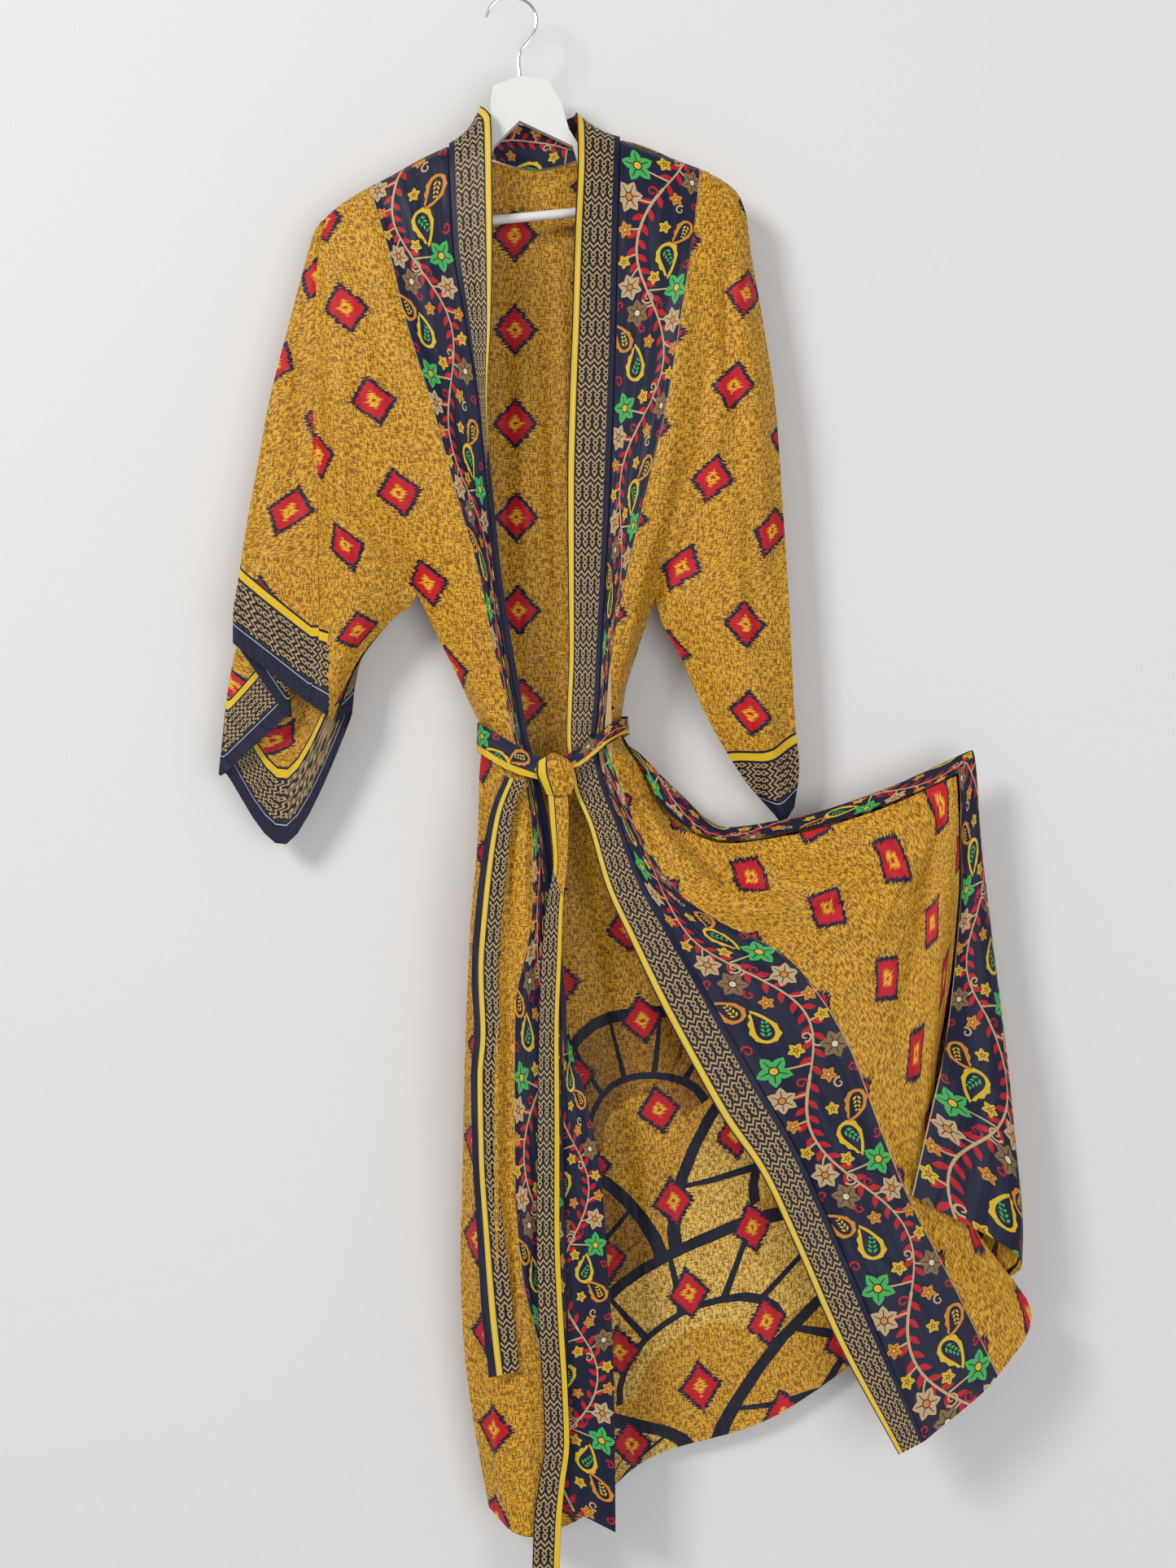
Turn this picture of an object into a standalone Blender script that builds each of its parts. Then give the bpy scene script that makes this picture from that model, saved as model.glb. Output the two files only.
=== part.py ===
"""Kimono duster hanging on a wooden hanger, belt tied, one side of the skirt held out.

Metres, +Z up, front towards -Y, origin at the inner top of the hook's loop.
Tables are drawn on a drafting grid whose step is UNIT, counted to the right and down;
a table point is (across, down, depth), with depth in millimetres, positive to the back.
"""
import math

import bmesh
import bpy
import numpy as np
from mathutils import Vector

UNIT = 0.00086            # one drafting step
ORIGIN_ACROSS = 629.0     # drafting position of the hook's inner top
ORIGIN_DOWN = -1.0
MM = 0.001

CLOTH = 0.0016            # wall of the printed cloth
BAND = 0.0022             # folded neck band
BELT = 0.0020             # folded belt strip
BOARD = 0.012             # hanger body, front to back
BAR_R = 0.005             # trouser bar radius
WIRE_R = 0.00175          # hook wire radius

ROWS_PER_STEP = 3         # cloth cells between two table rows
COLS_PER_STEP = 3         # cloth cells between two table columns
BAND_STEPS = 2            # the same, on the neck band
BAND_PARTINGS = (18, 26)  # band rows at the shoulders, where its three solids meet
SEAM_GAP = 0.0005         # between solids that meet end to end

# Right front, body part: neck band seam, border's outer line, middle, armpit / side seam.
RIGHT_FRONT = [
    [(549, 181, -1.4), (455, 230, -1.4), (437, 240, -1.4), (420, 251, -1.4)],
    [(550, 188, -9), (457, 238, -9), (438, 248, -9), (420, 258, -8)],
    [(552, 222, -17), (464, 264, -16), (440, 272, -15), (418, 280, -14)],
    [(557, 310, -24), (480, 315, -26), (450, 320, -24), (425, 325, -22)],
    [(572, 400, -27), (502, 405, -30), (462, 410, -28), (430, 410, -24)],
    [(587, 500, -26), (532, 500, -32), (488, 505, -32), (440, 510, -26)],
    [(597, 600, -24), (560, 602, -32), (515, 608, -32), (470, 612, -22)],
    [(609, 715, -24), (592, 715, -30), (556, 720, -28), (512, 727, -1.4)],
    [(622, 800, -23), (608, 798, -28), (582, 800, -24), (547, 800, -1.4)],
    [(633, 862, -22), (622, 860, -27), (602, 858, -23), (573, 855, -1.4)],
    [(640, 905, -20), (632, 905, -25), (612, 905, -22), (592, 905, -1.4)],
    [(655, 960, -24), (646, 962, -28), (618, 960, -27), (589, 955, -1.4)],
    [(668, 1040, -26), (656, 1040, -32), (620, 1040, -32), (587, 1030, -1.4)],
    [(680, 1150, -28), (654, 1130, -36), (618, 1140, -35), (578, 1140, -1.4)],
    [(688, 1264, -30), (634, 1236, -38), (606, 1260, -37), (573, 1250, -1.4)],
    [(690, 1360, -32), (633, 1350, -38), (603, 1360, -38), (570, 1350, -1.4)],
    [(692, 1450, -32), (634, 1450, -38), (603, 1450, -38), (568, 1450, -1.4)],
    [(695, 1560, -32), (643, 1560, -38), (606, 1560, -38), (566, 1550, -1.4)],
    [(696, 1660, -32), (664, 1655, -36), (620, 1660, -36), (570, 1650, -1.4)],
    [(694, 1750, -30), (671, 1754, -34), (628, 1750, -34), (581, 1740, -1.4)],
    [(688, 1838, -28), (666, 1874, -32), (633, 1872, -32), (601, 1852, -1.4)],
]
# Right front, sleeve part: armpit / under seam, middle, overarm seam in its deep fold.
RIGHT_FRONT_SLEEVE = [
    [(420, 251, -1.4), (411, 258, -1.4), (402, 266, -1.4)],
    [(420, 258, -8), (411, 264, -7), (401, 272, -5)],
    [(418, 280, -14), (407, 286, -12), (396, 294, -8)],
    [(425, 325, -22), (408, 328, -20), (391, 330, -10)],
    [(430, 410, -24), (408, 410, -22), (388, 410, -10)],
    [(440, 510, -26), (412, 508, -24), (386, 505, -10)],
    [(470, 612, -22), (426, 608, -26), (386, 600, -10)],
    [(512, 727, -1.4), (446, 716, -24), (387, 695, -11)],
    [(478, 765, -1.4), (432, 762, -20), (388, 742, -12)],
    [(440, 812, -3), (416, 812, -18), (388, 794, -14)],
    [(410, 884, -10), (398, 876, -18), (384, 866, -19)],
]
# Left front, body part down to the belt, then out to the held-out side.
LEFT_FRONT = [
    [(765, 173, -1.4), (860, 208, -1.4), (874, 215, -1.4), (886, 221, -1.4)],
    [(765, 181, -9), (860, 216, -9), (874, 223, -9), (886, 229, -8)],
    [(763, 216, -17), (857, 246, -16), (873, 252, -15), (886, 257, -14)],
    [(760, 300, -24), (850, 300, -26), (870, 305, -25), (888, 310, -22)],
    [(758, 400, -28), (835, 400, -32), (862, 400, -29), (890, 405, -24)],
    [(755, 500, -30), (819, 500, -34), (850, 505, -32), (888, 510, -26)],
    [(751, 600, -30), (794, 605, -36), (825, 610, -32), (858, 618, -22)],
    [(745, 715, -30), (768, 715, -34), (786, 722, -30), (806, 733, -1.4)],
    [(740, 800, -30), (752, 800, -34), (768, 798, -28), (785, 795, -1.4)],
    [(737, 862, -28), (745, 860, -31), (756, 857, -25), (768, 853, -1.4)],
    [(733, 905, -26), (742, 904, -29), (752, 902, -24), (763, 900, -1.4)],
    [(741, 955, -30), (756, 950, -33), (769, 945, -28), (784, 942, -4)],
    [(762, 1010, -34), (790, 1032, -38), (808, 1020, -34), (822, 1006, -12)],
    [(788, 1078, -36), (832, 1094, -44), (866, 1072, -44), (893, 1036, -16)],
    [(822, 1138, -38), (882, 1130, -46), (930, 1105, -50), (970, 1026, -18)],
    [(856, 1195, -40), (950, 1163, -48), (1020, 1105, -50), (1075, 996, -18)],
    [(893, 1262, -42), (1002, 1218, -50), (1085, 1130, -46), (1172, 954, -14)],
    [(932, 1330, -44), (1038, 1280, -52), (1110, 1205, -46), (1175, 1060, -20)],
    [(973, 1400, -44), (1068, 1360, -50), (1126, 1295, -40), (1167, 1168, -24)],
    [(1015, 1492, -46), (1106, 1455, -46), (1134, 1380, -34), (1147, 1290, -31)],
    [(1068, 1615, -46), (1163, 1566, -43), (1188, 1500, -28), (1121, 1398, -31)],
    [(1129, 1756, -46), (1219, 1678, -40), (1256, 1590, -26), (1108, 1462, -29)],
]
# Left front, sleeve part: armpit / under seam, middle, overarm seam on the outer edge.
LEFT_FRONT_SLEEVE = [
    [(886, 221, -1.4), (896, 228, -1.4), (905, 236, -1.4)],
    [(886, 229, -8), (898, 236, -6), (909, 243, -1.4)],
    [(886, 257, -14), (902, 258, -10), (916, 262, -1.4)],
    [(888, 310, -22), (906, 310, -18), (923, 312, -1.4)],
    [(890, 405, -24), (914, 405, -22), (938, 400, -1.4)],
    [(888, 510, -26), (922, 508, -26), (953, 500, -1.4)],
    [(858, 618, -22), (912, 618, -28), (961, 612, -1.4)],
    [(806, 733, -1.4), (890, 740, -26), (969, 735, -1.4)],
    [(840, 815, -1.4), (905, 815, -26), (973, 810, -1.4)],
    [(870, 883, -0.4), (926, 890, -20), (977, 888, -0.4)],
    [(917, 960, 9.6), (950, 955, -2), (983, 945, 9.6)],
    [(950, 998, 17.6), (964, 1010, 12), (978, 992, 17.6)],
]
# Back, body part, left side seam to right side seam round the fold of the held-out side.
# Columns: left side, shoulder, neck side, centre, neck side, shoulder, fold, right side.
BACK = [
    [(420, 251, 1.4), (549, 181, 1.4), (600, 194, 10), (655, 207, 12),
     (710, 196, 10), (765, 173, 1.4), (845, 203, 1.4), (886, 221, 1.4)],
    [(420, 258, 8), (549, 189, 9), (600, 203, 14), (655, 214, 15),
     (710, 204, 14), (765, 181, 9), (845, 211, 9), (886, 229, 8)],
    [(418, 280, 14), (549, 232, 17), (601, 236, 19), (655, 238, 20),
     (709, 234, 19), (765, 226, 17), (845, 244, 16), (886, 257, 14)],
    [(425, 325, 20), (550, 320, 22), (602, 320, 24), (655, 320, 25),
     (708, 318, 24), (762, 316, 22), (840, 312, 22), (888, 310, 20)],
    [(430, 410, 22), (552, 410, 25), (604, 410, 27), (655, 410, 28),
     (706, 408, 27), (758, 406, 26), (835, 406, 24), (890, 405, 22)],
    [(440, 510, 24), (556, 510, 26), (606, 510, 28), (655, 510, 29),
     (704, 508, 28), (756, 508, 27), (830, 509, 25), (888, 510, 24)],
    [(470, 612, 20), (564, 610, 26), (610, 610, 28), (656, 610, 29),
     (702, 610, 28), (752, 610, 27), (812, 614, 24), (858, 618, 20)],
    [(512, 727, 1.4), (575, 722, 22), (616, 720, 27), (658, 720, 28),
     (700, 720, 27), (742, 722, 24), (782, 728, 16), (806, 733, 1.4)],
    [(547, 800, 1.4), (592, 800, 20), (626, 800, 26), (662, 800, 27),
     (698, 800, 26), (734, 799, 23), (766, 797, 14), (785, 795, 1.4)],
    [(573, 855, 1.4), (604, 856, 18), (634, 858, 24), (666, 858, 26),
     (698, 857, 24), (730, 856, 20), (756, 854, 12), (768, 853, 1.4)],
    [(592, 905, 1.4), (612, 905, 17), (638, 905, 23), (668, 904, 25),
     (698, 903, 23), (728, 902, 19), (752, 901, 11), (763, 900, 1.4)],
    [(589, 955, 1.4), (610, 958, 20), (640, 962, 26), (674, 964, 28),
     (708, 962, 26), (742, 954, 22), (784, 926, 4), (786, 940, -5)],
    [(587, 1030, 1.4), (612, 1036, 24), (646, 1045, 30), (686, 1050, 32),
     (730, 1046, 30), (776, 1030, 24), (832, 974, 3), (825, 1003, -12)],
    [(578, 1140, 1.4), (610, 1144, 28), (650, 1152, 34), (700, 1154, 36),
     (760, 1140, 34), (826, 1100, 26), (890, 1020, 2), (893, 1033, -16)],
    [(573, 1250, 1.4), (610, 1254, 30), (656, 1260, 36), (716, 1256, 38),
     (790, 1230, 36), (880, 1160, 30), (965, 1014, 2), (970, 1023, -18)],
    [(570, 1350, 1.4), (610, 1354, 30), (662, 1360, 36), (732, 1350, 38),
     (824, 1310, 38), (940, 1200, 34), (1072, 985, 2), (1075, 992.5, -18)],
    [(568, 1450, 1.4), (612, 1454, 30), (668, 1456, 36), (748, 1440, 38),
     (858, 1390, 38), (1000, 1240, 34), (1182, 941, 2), (1175, 951, -14)],
    [(566, 1550, 1.4), (614, 1554, 30), (674, 1554, 36), (764, 1536, 38),
     (888, 1470, 38), (1050, 1320, 34), (1198, 1060, -2), (1178.5, 1060, -20)],
    [(570, 1650, 1.4), (620, 1652, 28), (682, 1650, 34), (780, 1628, 36),
     (916, 1556, 36), (1090, 1410, 32), (1218, 1180, -2), (1170.5, 1168, -24)],
    [(581, 1740, 1.4), (630, 1744, 26), (690, 1740, 32), (790, 1712, 34),
     (935, 1636, 34), (1118, 1500, 30), (1238, 1340, -16), (1151.5, 1290, -39)],
    [(592, 1806, 1.4), (636, 1826, 26), (697, 1818, 32), (796, 1766, 34),
     (948, 1690, 34), (1136, 1560, 30), (1252, 1500, -24), (1125.5, 1398, -51)],
    [(601, 1852, 1.4), (640, 1882, 24), (705, 1882, 30), (800, 1802, 32),
     (960, 1748, 32), (1150, 1610, 26), (1250, 1546, -28), (1111.5, 1458, -57)],
]
# Back, the part round the viewer's left sleeve, from the overarm seam behind to the armpit.
# Columns: overarm seam, outer fold twice, tuck twice, low fold twice, point, under fold, armpit.
BACK_SLEEVE_LEFT = [
    [(393, 272.5, 1.4), (395, 271.5, 1.4), (397.5, 270, 1.4), (400, 268, 1.4), (402.5, 266, 1.4),
     (405, 264, 1.4), (408, 262, 1.4), (411, 259.5, 1.4), (415.5, 255, 1.4), (420, 251, 1.4)],
    [(394, 280, -5), (387, 284, -1), (387, 284, 3.5), (391, 282, 6.5), (395, 279, 7.6),
     (399, 276, 8), (403, 273, 8.2), (408, 269, 8.3), (414, 263.5, 8.2), (420, 258, 8)],
    [(390.5, 298, -7.5), (382, 300, -2), (382, 300, 4), (386, 298, 8), (390, 296, 10.5),
     (395, 294, 12), (400, 291, 13), (406, 288, 13.6), (412, 284, 14), (418, 280, 14)],
    [(387, 331, -9), (373, 335, -3), (373, 335, 4), (378, 334, 9), (384, 333, 12.5),
     (391, 332, 15), (398, 331, 17), (406, 329, 18.6), (415, 327, 19.6), (425, 325, 20)],
    [(384, 410, -8.5), (356, 404, -3), (356, 404, 4), (364, 405, 10), (373, 406, 14),
     (383, 407, 17), (393, 408, 19.5), (404, 409, 21), (416, 410, 22), (430, 410, 22)],
    [(382, 505, -8.5), (335, 495, -5), (335, 495, 2.5), (345, 498, 9), (358, 501, 14),
     (370, 503, 18), (384, 506, 21), (400, 508, 23), (419, 510, 24), (440, 510, 24)],
    [(382, 600, -9), (319, 590, -7), (319, 590, 0), (330, 594, 6), (344, 598, 12),
     (360, 601, 17), (380, 604, 21), (404, 608, 23), (436, 611, 22), (470, 612, 20)],
    [(383, 695, -10), (306, 678, -11), (306, 680, -5), (322, 688, 0), (322, 692, 5),
     (318, 696, 10), (334, 702, 15), (380, 710, 21), (450, 720, 17), (512, 727, 1.4)],
    [(384, 742, -11), (301, 722, -14), (302, 724, -9), (338, 744, -5), (338, 746, 0.5),
     (302, 766, 6), (303, 768, 11), (362, 800, 18), (436, 774, 13), (478, 765, 1.4)],
    [(384, 794, -13), (297, 760, -17), (298, 762, -12), (345, 806, -7.5), (345, 808, -2.5),
     (287, 842, 3), (288, 845, 8), (352, 900, 16), (431, 832, 9), (441, 815, 0)],
    [(380, 864, -18), (297, 798, -20), (298, 800, -15), (352, 878, -10.5), (352, 881, -5.5),
     (277, 950, -1), (278, 952, 4.5), (350, 1038, 12), (430, 884, 5), (412, 888, -7)],
]
# Back, the part round the viewer's right sleeve, armpit to overarm seam.
BACK_SLEEVE_RIGHT = [
    [(886, 221, 1.4), (896, 228, 1.4), (905, 236, 1.4)],
    [(886, 229, 8), (898, 236, 6), (909, 243, 1.4)],
    [(886, 257, 14), (902, 258, 10), (916, 262, 1.4)],
    [(888, 310, 20), (906, 310, 16), (923, 312, 1.4)],
    [(890, 405, 22), (914, 405, 20), (938, 400, 1.4)],
    [(888, 510, 24), (922, 508, 24), (953, 500, 1.4)],
    [(858, 618, 20), (912, 618, 26), (961, 612, 1.4)],
    [(806, 733, 1.4), (890, 740, 26), (969, 735, 1.4)],
    [(840, 815, 1.4), (905, 815, 26), (973, 810, 1.4)],
    [(870, 883, 2.4), (926, 890, 24), (977, 888, 2.4)],
    [(917, 960, 12.4), (950, 955, 28), (983, 945, 12.4)],
    [(950, 998, 20.4), (964, 1010, 28), (978, 992, 20.4)],
]
ARMPIT_ROW = 7            # table row at which sleeve and body part

# Neck band: (seam edge, free edge) from the right front's hem up, round the neck and down.
NECK_BAND = [
    [(690, 1839, -29), (756, 1871, -34)],
    [(696.5, 1750, -31), (755, 1770, -38)],
    [(698.5, 1660, -33), (753, 1650, -40)],
    [(697.5, 1560, -33), (747, 1556, -40)],
    [(694.5, 1450, -33), (739, 1446, -40)],
    [(692.5, 1360, -33), (722, 1350, -36)],
    [(690.5, 1264, -31), (698, 1258, -20)],
    [(682.5, 1150, -29), (690, 1148, -14)],
    [(670.5, 1040, -27), (682, 1038, -8)],
    [(657.5, 960, -25), (664, 958, -6)],
    [(642.5, 905, -21), (648, 903, -4)],
    [(635.5, 862, -23), (641, 861, -6)],
    [(624.5, 800, -24), (629, 800, -4)],
    [(611.5, 715, -25), (614, 715, -6)],
    [(599.5, 600, -26), (604, 600, -14)],
    [(589.5, 500, -28), (600, 500, -32)],
    [(574.5, 400, -29), (605, 400, -34)],
    [(559.5, 310, -26), (607, 300, -34)],
    [(554, 215, -19), (606, 200, -30)],
    [(552, 177, -3), (604, 150, -20)],
    [(569, 176, 8), (590, 132, -4)],
    [(597, 189.5, 12), (597, 134, 11)],
    [(655, 203.5, 15), (655, 150, 19)],
    [(711, 192, 12), (704, 140, 11)],
    [(742, 171, 6), (708, 139, -4)],
    [(762, 169, -3), (709, 160, -20)],
    [(760, 210, -19), (710, 205, -30)],
    [(757.5, 300, -26), (706, 300, -34)],
    [(755.5, 400, -30), (703, 400, -36)],
    [(752.5, 500, -32), (699, 500, -36)],
    [(748.5, 600, -32), (697, 600, -34)],
    [(742.5, 715, -32), (698, 715, -34)],
    [(737.5, 800, -31), (699, 800, -33)],
    [(734.5, 862, -29), (697, 862, -31)],
    [(730.5, 905, -27), (696, 905, -30)],
    [(739.7, 956.4, -31), (704, 966, -34)],
    [(760.7, 1011.4, -35), (722, 1012, -36)],
    [(786.7, 1079.4, -37), (744, 1088, -38)],
    [(820.7, 1139.4, -39), (772, 1150, -40)],
    [(854.7, 1196.4, -41), (806, 1222, -42)],
    [(891.7, 1263.4, -43), (846, 1298, -44)],
    [(930.7, 1331.4, -45), (888, 1372, -46)],
    [(971.7, 1401.4, -45), (930, 1432, -46)],
    [(1013.7, 1493.4, -47), (972, 1520, -48)],
    [(1066.7, 1616.4, -47), (1022, 1634, -48)],
    [(1127.7, 1756.4, -47), (1097, 1772, -48)],
]
# Belt round the waist: (upper edge, lower edge) from the knot round the left side and back.
BELT_WRAP = [
    [(658, 928, -42), (652, 956, -42)],
    [(632, 914, -38), (628, 948, -38)],
    [(602, 896, -30), (600, 932, -32)],
    [(588, 889, -14), (587, 924, -14)],
    [(586, 888, 8), (585, 922, 8)],
    [(602, 886, 27), (600, 920, 29)],
    [(640, 884, 33), (638, 918, 34)],
    [(684, 882, 34), (686, 916, 36)],
    [(728, 881, 31), (732, 912, 32)],
    [(758, 880, 22), (762, 908, 23)],
    [(772, 880, 6), (774, 902, 6)],
    [(770, 882, -14), (769, 902, -16)],
    [(752, 890, -34), (752, 910, -35)],
    [(728, 908, -40), (730, 928, -41)],
    [(708, 922, -42), (710, 943, -43)],
]
# Belt tails: (left edge, right edge) going down.
TAIL_LEFT = [
    [(622, 954, -43), (646, 961, -43)],
    [(604, 1000, -42), (632, 1002, -42)],
    [(588, 1105, -43), (620, 1105, -43)],
    [(582, 1191, -44), (614, 1191, -44)],
    [(585, 1264, -45), (616, 1264, -45)],
    [(581, 1319, -45), (613, 1319, -45)],
    [(583, 1414, -45), (614, 1414, -45)],
    [(588, 1497, -45), (620, 1497, -45)],
    [(594, 1600, -45), (632, 1598, -45)],
    [(603, 1680, -45), (640, 1672, -45)],
]
TAIL_RIGHT = [
    [(672, 966, -48), (697, 966, -47)],
    [(675, 1004, -46), (699, 1004, -46)],
    [(680, 1060, -44), (697, 1060, -44)],
    [(672, 1110, -43), (692, 1110, -43)],
    [(666, 1178, -44), (690, 1178, -44)],
    [(663, 1264, -45), (687, 1264, -45)],
    [(661, 1400, -45), (688, 1400, -45)],
    [(660, 1500, -45), (688, 1500, -45)],
    [(662, 1600, -45), (692, 1600, -45)],
    [(668, 1700, -43), (698, 1700, -43)],
    [(670, 1760, -42), (700, 1760, -42)],
    [(663, 1810, -42), (694, 1812, -42)],
    [(657, 1860, -42), (690, 1862, -42)],
    [(655, 1927, -42), (688, 1928, -42)],
    [(655, 1962, -42), (688, 1962, -42)],
]
# Knot: (upper rim, lower rim) of the loop that wraps the crossing, going round it once.
KNOT = [
    [(649, 946, -47), (653, 964, -47)],
    [(660, 929, -52), (664, 972, -52)],
    [(680, 923, -54), (684, 977, -54)],
    [(700, 926, -51), (701, 969, -51)],
    [(711, 936, -46), (708, 956, -47)],
]

# Hanger board outline, going round once.
BOARD_OUTLINE = [
    (640, 95), (606, 107), (603, 128), (604, 168), (590, 197), (562, 208), (500, 236),
    (450, 258), (420, 273), (413, 283), (416, 293), (427, 295), (450, 284), (500, 262),
    (562, 240), (598, 216), (607, 181), (638.5, 150), (704, 181), (712, 208), (745, 224),
    (800, 243), (862, 266), (882, 272), (891, 267), (893, 256), (884, 249), (862, 241),
    (800, 218), (745, 197), (716, 188), (699, 160), (690, 128), (673, 100),
]
BAR_ENDS = [(468.0, 283.5), (805.0, 252.0)]
# Hook wire centreline: tip, round the loop, down to the stem's foot.
HOOK_LINE = [
    (597, 21), (603, 8), (614, -1.5), (629, -3.04), (643, 0), (654, 9), (659, 21),
    (658, 35), (650, 50), (641, 61), (637.5, 72), (638.5, 94),
]
TIP_BALL_R = 0.0032


def place(point):
    """Drafting point (across, down, depth mm) to metres."""
    across, down, depth = point
    return ((across - ORIGIN_ACROSS) * UNIT, depth * MM, -(down - ORIGIN_DOWN) * UNIT)


def level(table, steps):
    """Rows of points resampled down a table by a cubic that never swings past its rows."""
    data = np.asarray(table, float)
    step = np.diff(data, axis=0)
    both = step[:-1] * step[1:]
    total = step[:-1] + step[1:]
    inner = np.where(both > 0, 2 * both / np.where(total == 0, 1, total), 0)
    slope = np.concatenate([step[:1], inner, step[-1:]])
    where = np.linspace(0, len(data) - 1, (len(data) - 1) * steps + 1)
    cell = np.minimum(where.astype(int), len(data) - 2)
    t = (where - cell)[:, None, None]
    return (data[cell] * (2 * t ** 3 - 3 * t ** 2 + 1) + slope[cell] * (t ** 3 - 2 * t ** 2 + t)
            + data[cell + 1] * (3 * t ** 2 - 2 * t ** 3) + slope[cell + 1] * (t ** 3 - t ** 2))


def smooth(table, steps, axis):
    """Rows of points resampled along one axis with a cubic through every table row."""
    data = np.moveaxis(np.asarray(table, float), axis, 0)
    count = len(data)
    padded = np.concatenate([2 * data[:1] - data[1:2], data, 2 * data[-1:] - data[-2:-1]])
    where = np.linspace(0, count - 1, (count - 1) * steps + 1)
    cell = np.minimum(where.astype(int), count - 2)
    t = (where - cell).reshape((-1,) + (1,) * (data.ndim - 1))
    a, b, c, d = (padded[cell + k] for k in range(4))
    made = 0.5 * (2 * b + (c - a) * t + (2 * a - 5 * b + 4 * c - d) * t ** 2
                  + (3 * b - a - 3 * c + d) * t ** 3)
    return np.moveaxis(made, 0, axis)


def surface(table, row_steps=ROWS_PER_STEP, col_steps=COLS_PER_STEP):
    """Table of drafting points to a fine grid of metres."""
    grid = np.array([[place(point) for point in row] for row in table])
    return smooth(level(grid, row_steps), col_steps, 1)


def grid_faces(rows, cols, first=0):
    return [(first + r * cols + c, first + r * cols + c + 1,
             first + (r + 1) * cols + c + 1, first + (r + 1) * cols + c)
            for r in range(rows - 1) for c in range(cols - 1)]


def add_part(name, bm, slot_name, color, metallic=0.0, rough=0.6):
    bmesh.ops.recalc_face_normals(bm, faces=bm.faces[:])
    mesh = bpy.data.meshes.new(name)
    bm.to_mesh(mesh)
    bm.free()
    part = bpy.data.objects.new(name, mesh)
    collection.objects.link(part)
    material = bpy.data.materials.new(slot_name)
    material.use_nodes = True
    shader = material.node_tree.nodes["Principled BSDF"]
    shader.inputs["Base Color"].default_value = (*color, 1.0)
    shader.inputs["Metallic"].default_value = metallic
    shader.inputs["Roughness"].default_value = rough
    mesh.materials.append(material)
    return part


def cloth(name, grids, wall, slot_name, color):
    """One closed wall: the grids are joined where they meet and given their thickness."""
    bm = bmesh.new()
    for grid in grids:
        rows, cols = grid.shape[:2]
        made = [bm.verts.new(p) for p in grid.reshape(-1, 3)]
        for face in grid_faces(rows, cols):
            bm.faces.new([made[i] for i in face])
    bmesh.ops.remove_doubles(bm, verts=bm.verts[:], dist=1e-6)
    bm.normal_update()
    bm.verts.ensure_lookup_table()
    bm.verts.index_update()
    faces = [[v.index for v in f.verts] for f in bm.faces]
    rim = [(e.link_faces[0], e) for e in bm.edges if len(e.link_faces) == 1]
    middle = [v.co.copy() for v in bm.verts]
    normals = [v.normal.copy() for v in bm.verts]
    edges = []
    for face, edge in rim:
        ring = [v.index for v in face.verts]
        a, b = edge.verts[0].index, edge.verts[1].index
        if ring[(ring.index(a) + 1) % len(ring)] != b:
            a, b = b, a
        edges.append((a, b))
    bm.free()
    wall_mesh = bmesh.new()
    outer = [wall_mesh.verts.new(p + n * wall / 2) for p, n in zip(middle, normals)]
    inner = [wall_mesh.verts.new(p - n * wall / 2) for p, n in zip(middle, normals)]
    for ring in faces:
        wall_mesh.faces.new([outer[i] for i in ring])
        wall_mesh.faces.new([inner[i] for i in reversed(ring)])
    for a, b in edges:
        wall_mesh.faces.new((outer[b], outer[a], inner[a], inner[b]))
    bmesh.ops.triangulate(wall_mesh, faces=wall_mesh.faces[:])
    return add_part(name, wall_mesh, slot_name, color, 0.0, 0.8)


def strip_part(grid, first, last):
    """Rows first to last of a strip, each cut end drawn in by half the seam's gap."""
    part = grid[first:last + 1].copy()
    for end, inner, cut in ((0, 1, first > 0), (-1, -2, last < len(grid) - 1)):
        if cut:
            along = grid[first:last + 1][inner] - part[end]
            length = np.linalg.norm(along, axis=1, keepdims=True)
            part[end] += along / length * SEAM_GAP / 2
    return part


def share_armpit(body, sleeve, body_col, sleeve_col, rows):
    """Sleeve and body use one line of points above the armpit."""
    sleeve[:rows, sleeve_col] = body[:rows, body_col]


def tube(name, line, radius, slot_name, color, metallic, rough, sides=12):
    bm = bmesh.new()
    line = [Vector(p) for p in line]
    rings = []
    side = Vector((0, 1, 0))
    for i, point in enumerate(line):
        ahead = (line[min(i + 1, len(line) - 1)] - line[max(i - 1, 0)]).normalized()
        out = side.cross(ahead).normalized()
        turn = [(math.cos(2 * math.pi * k / sides), math.sin(2 * math.pi * k / sides))
                for k in range(sides)]
        rings.append([bm.verts.new(point + out * radius * c + side * radius * s)
                      for c, s in turn])
    for low, high in zip(rings, rings[1:]):
        for k in range(sides):
            bm.faces.new((low[k], low[(k + 1) % sides], high[(k + 1) % sides], high[k]))
    bm.faces.new(rings[0][::-1])
    bm.faces.new(rings[-1])
    bmesh.ops.triangulate(bm, faces=bm.faces[:])
    return add_part(name, bm, slot_name, color, metallic, rough)


for old in list(bpy.data.objects):
    bpy.data.objects.remove(old)
collection = bpy.data.collections.new("kimono_duster")
bpy.context.scene.collection.children.link(collection)

OCHRE = (0.50, 0.28, 0.055)
NAVY = (0.012, 0.014, 0.045)
armpit = ARMPIT_ROW * ROWS_PER_STEP + 1

right_body = surface(RIGHT_FRONT)
right_sleeve = surface(RIGHT_FRONT_SLEEVE)
share_armpit(right_body, right_sleeve, -1, 0, armpit)
cloth("front_right", [right_body, right_sleeve], CLOTH, "printed_cloth_right", OCHRE)

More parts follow.
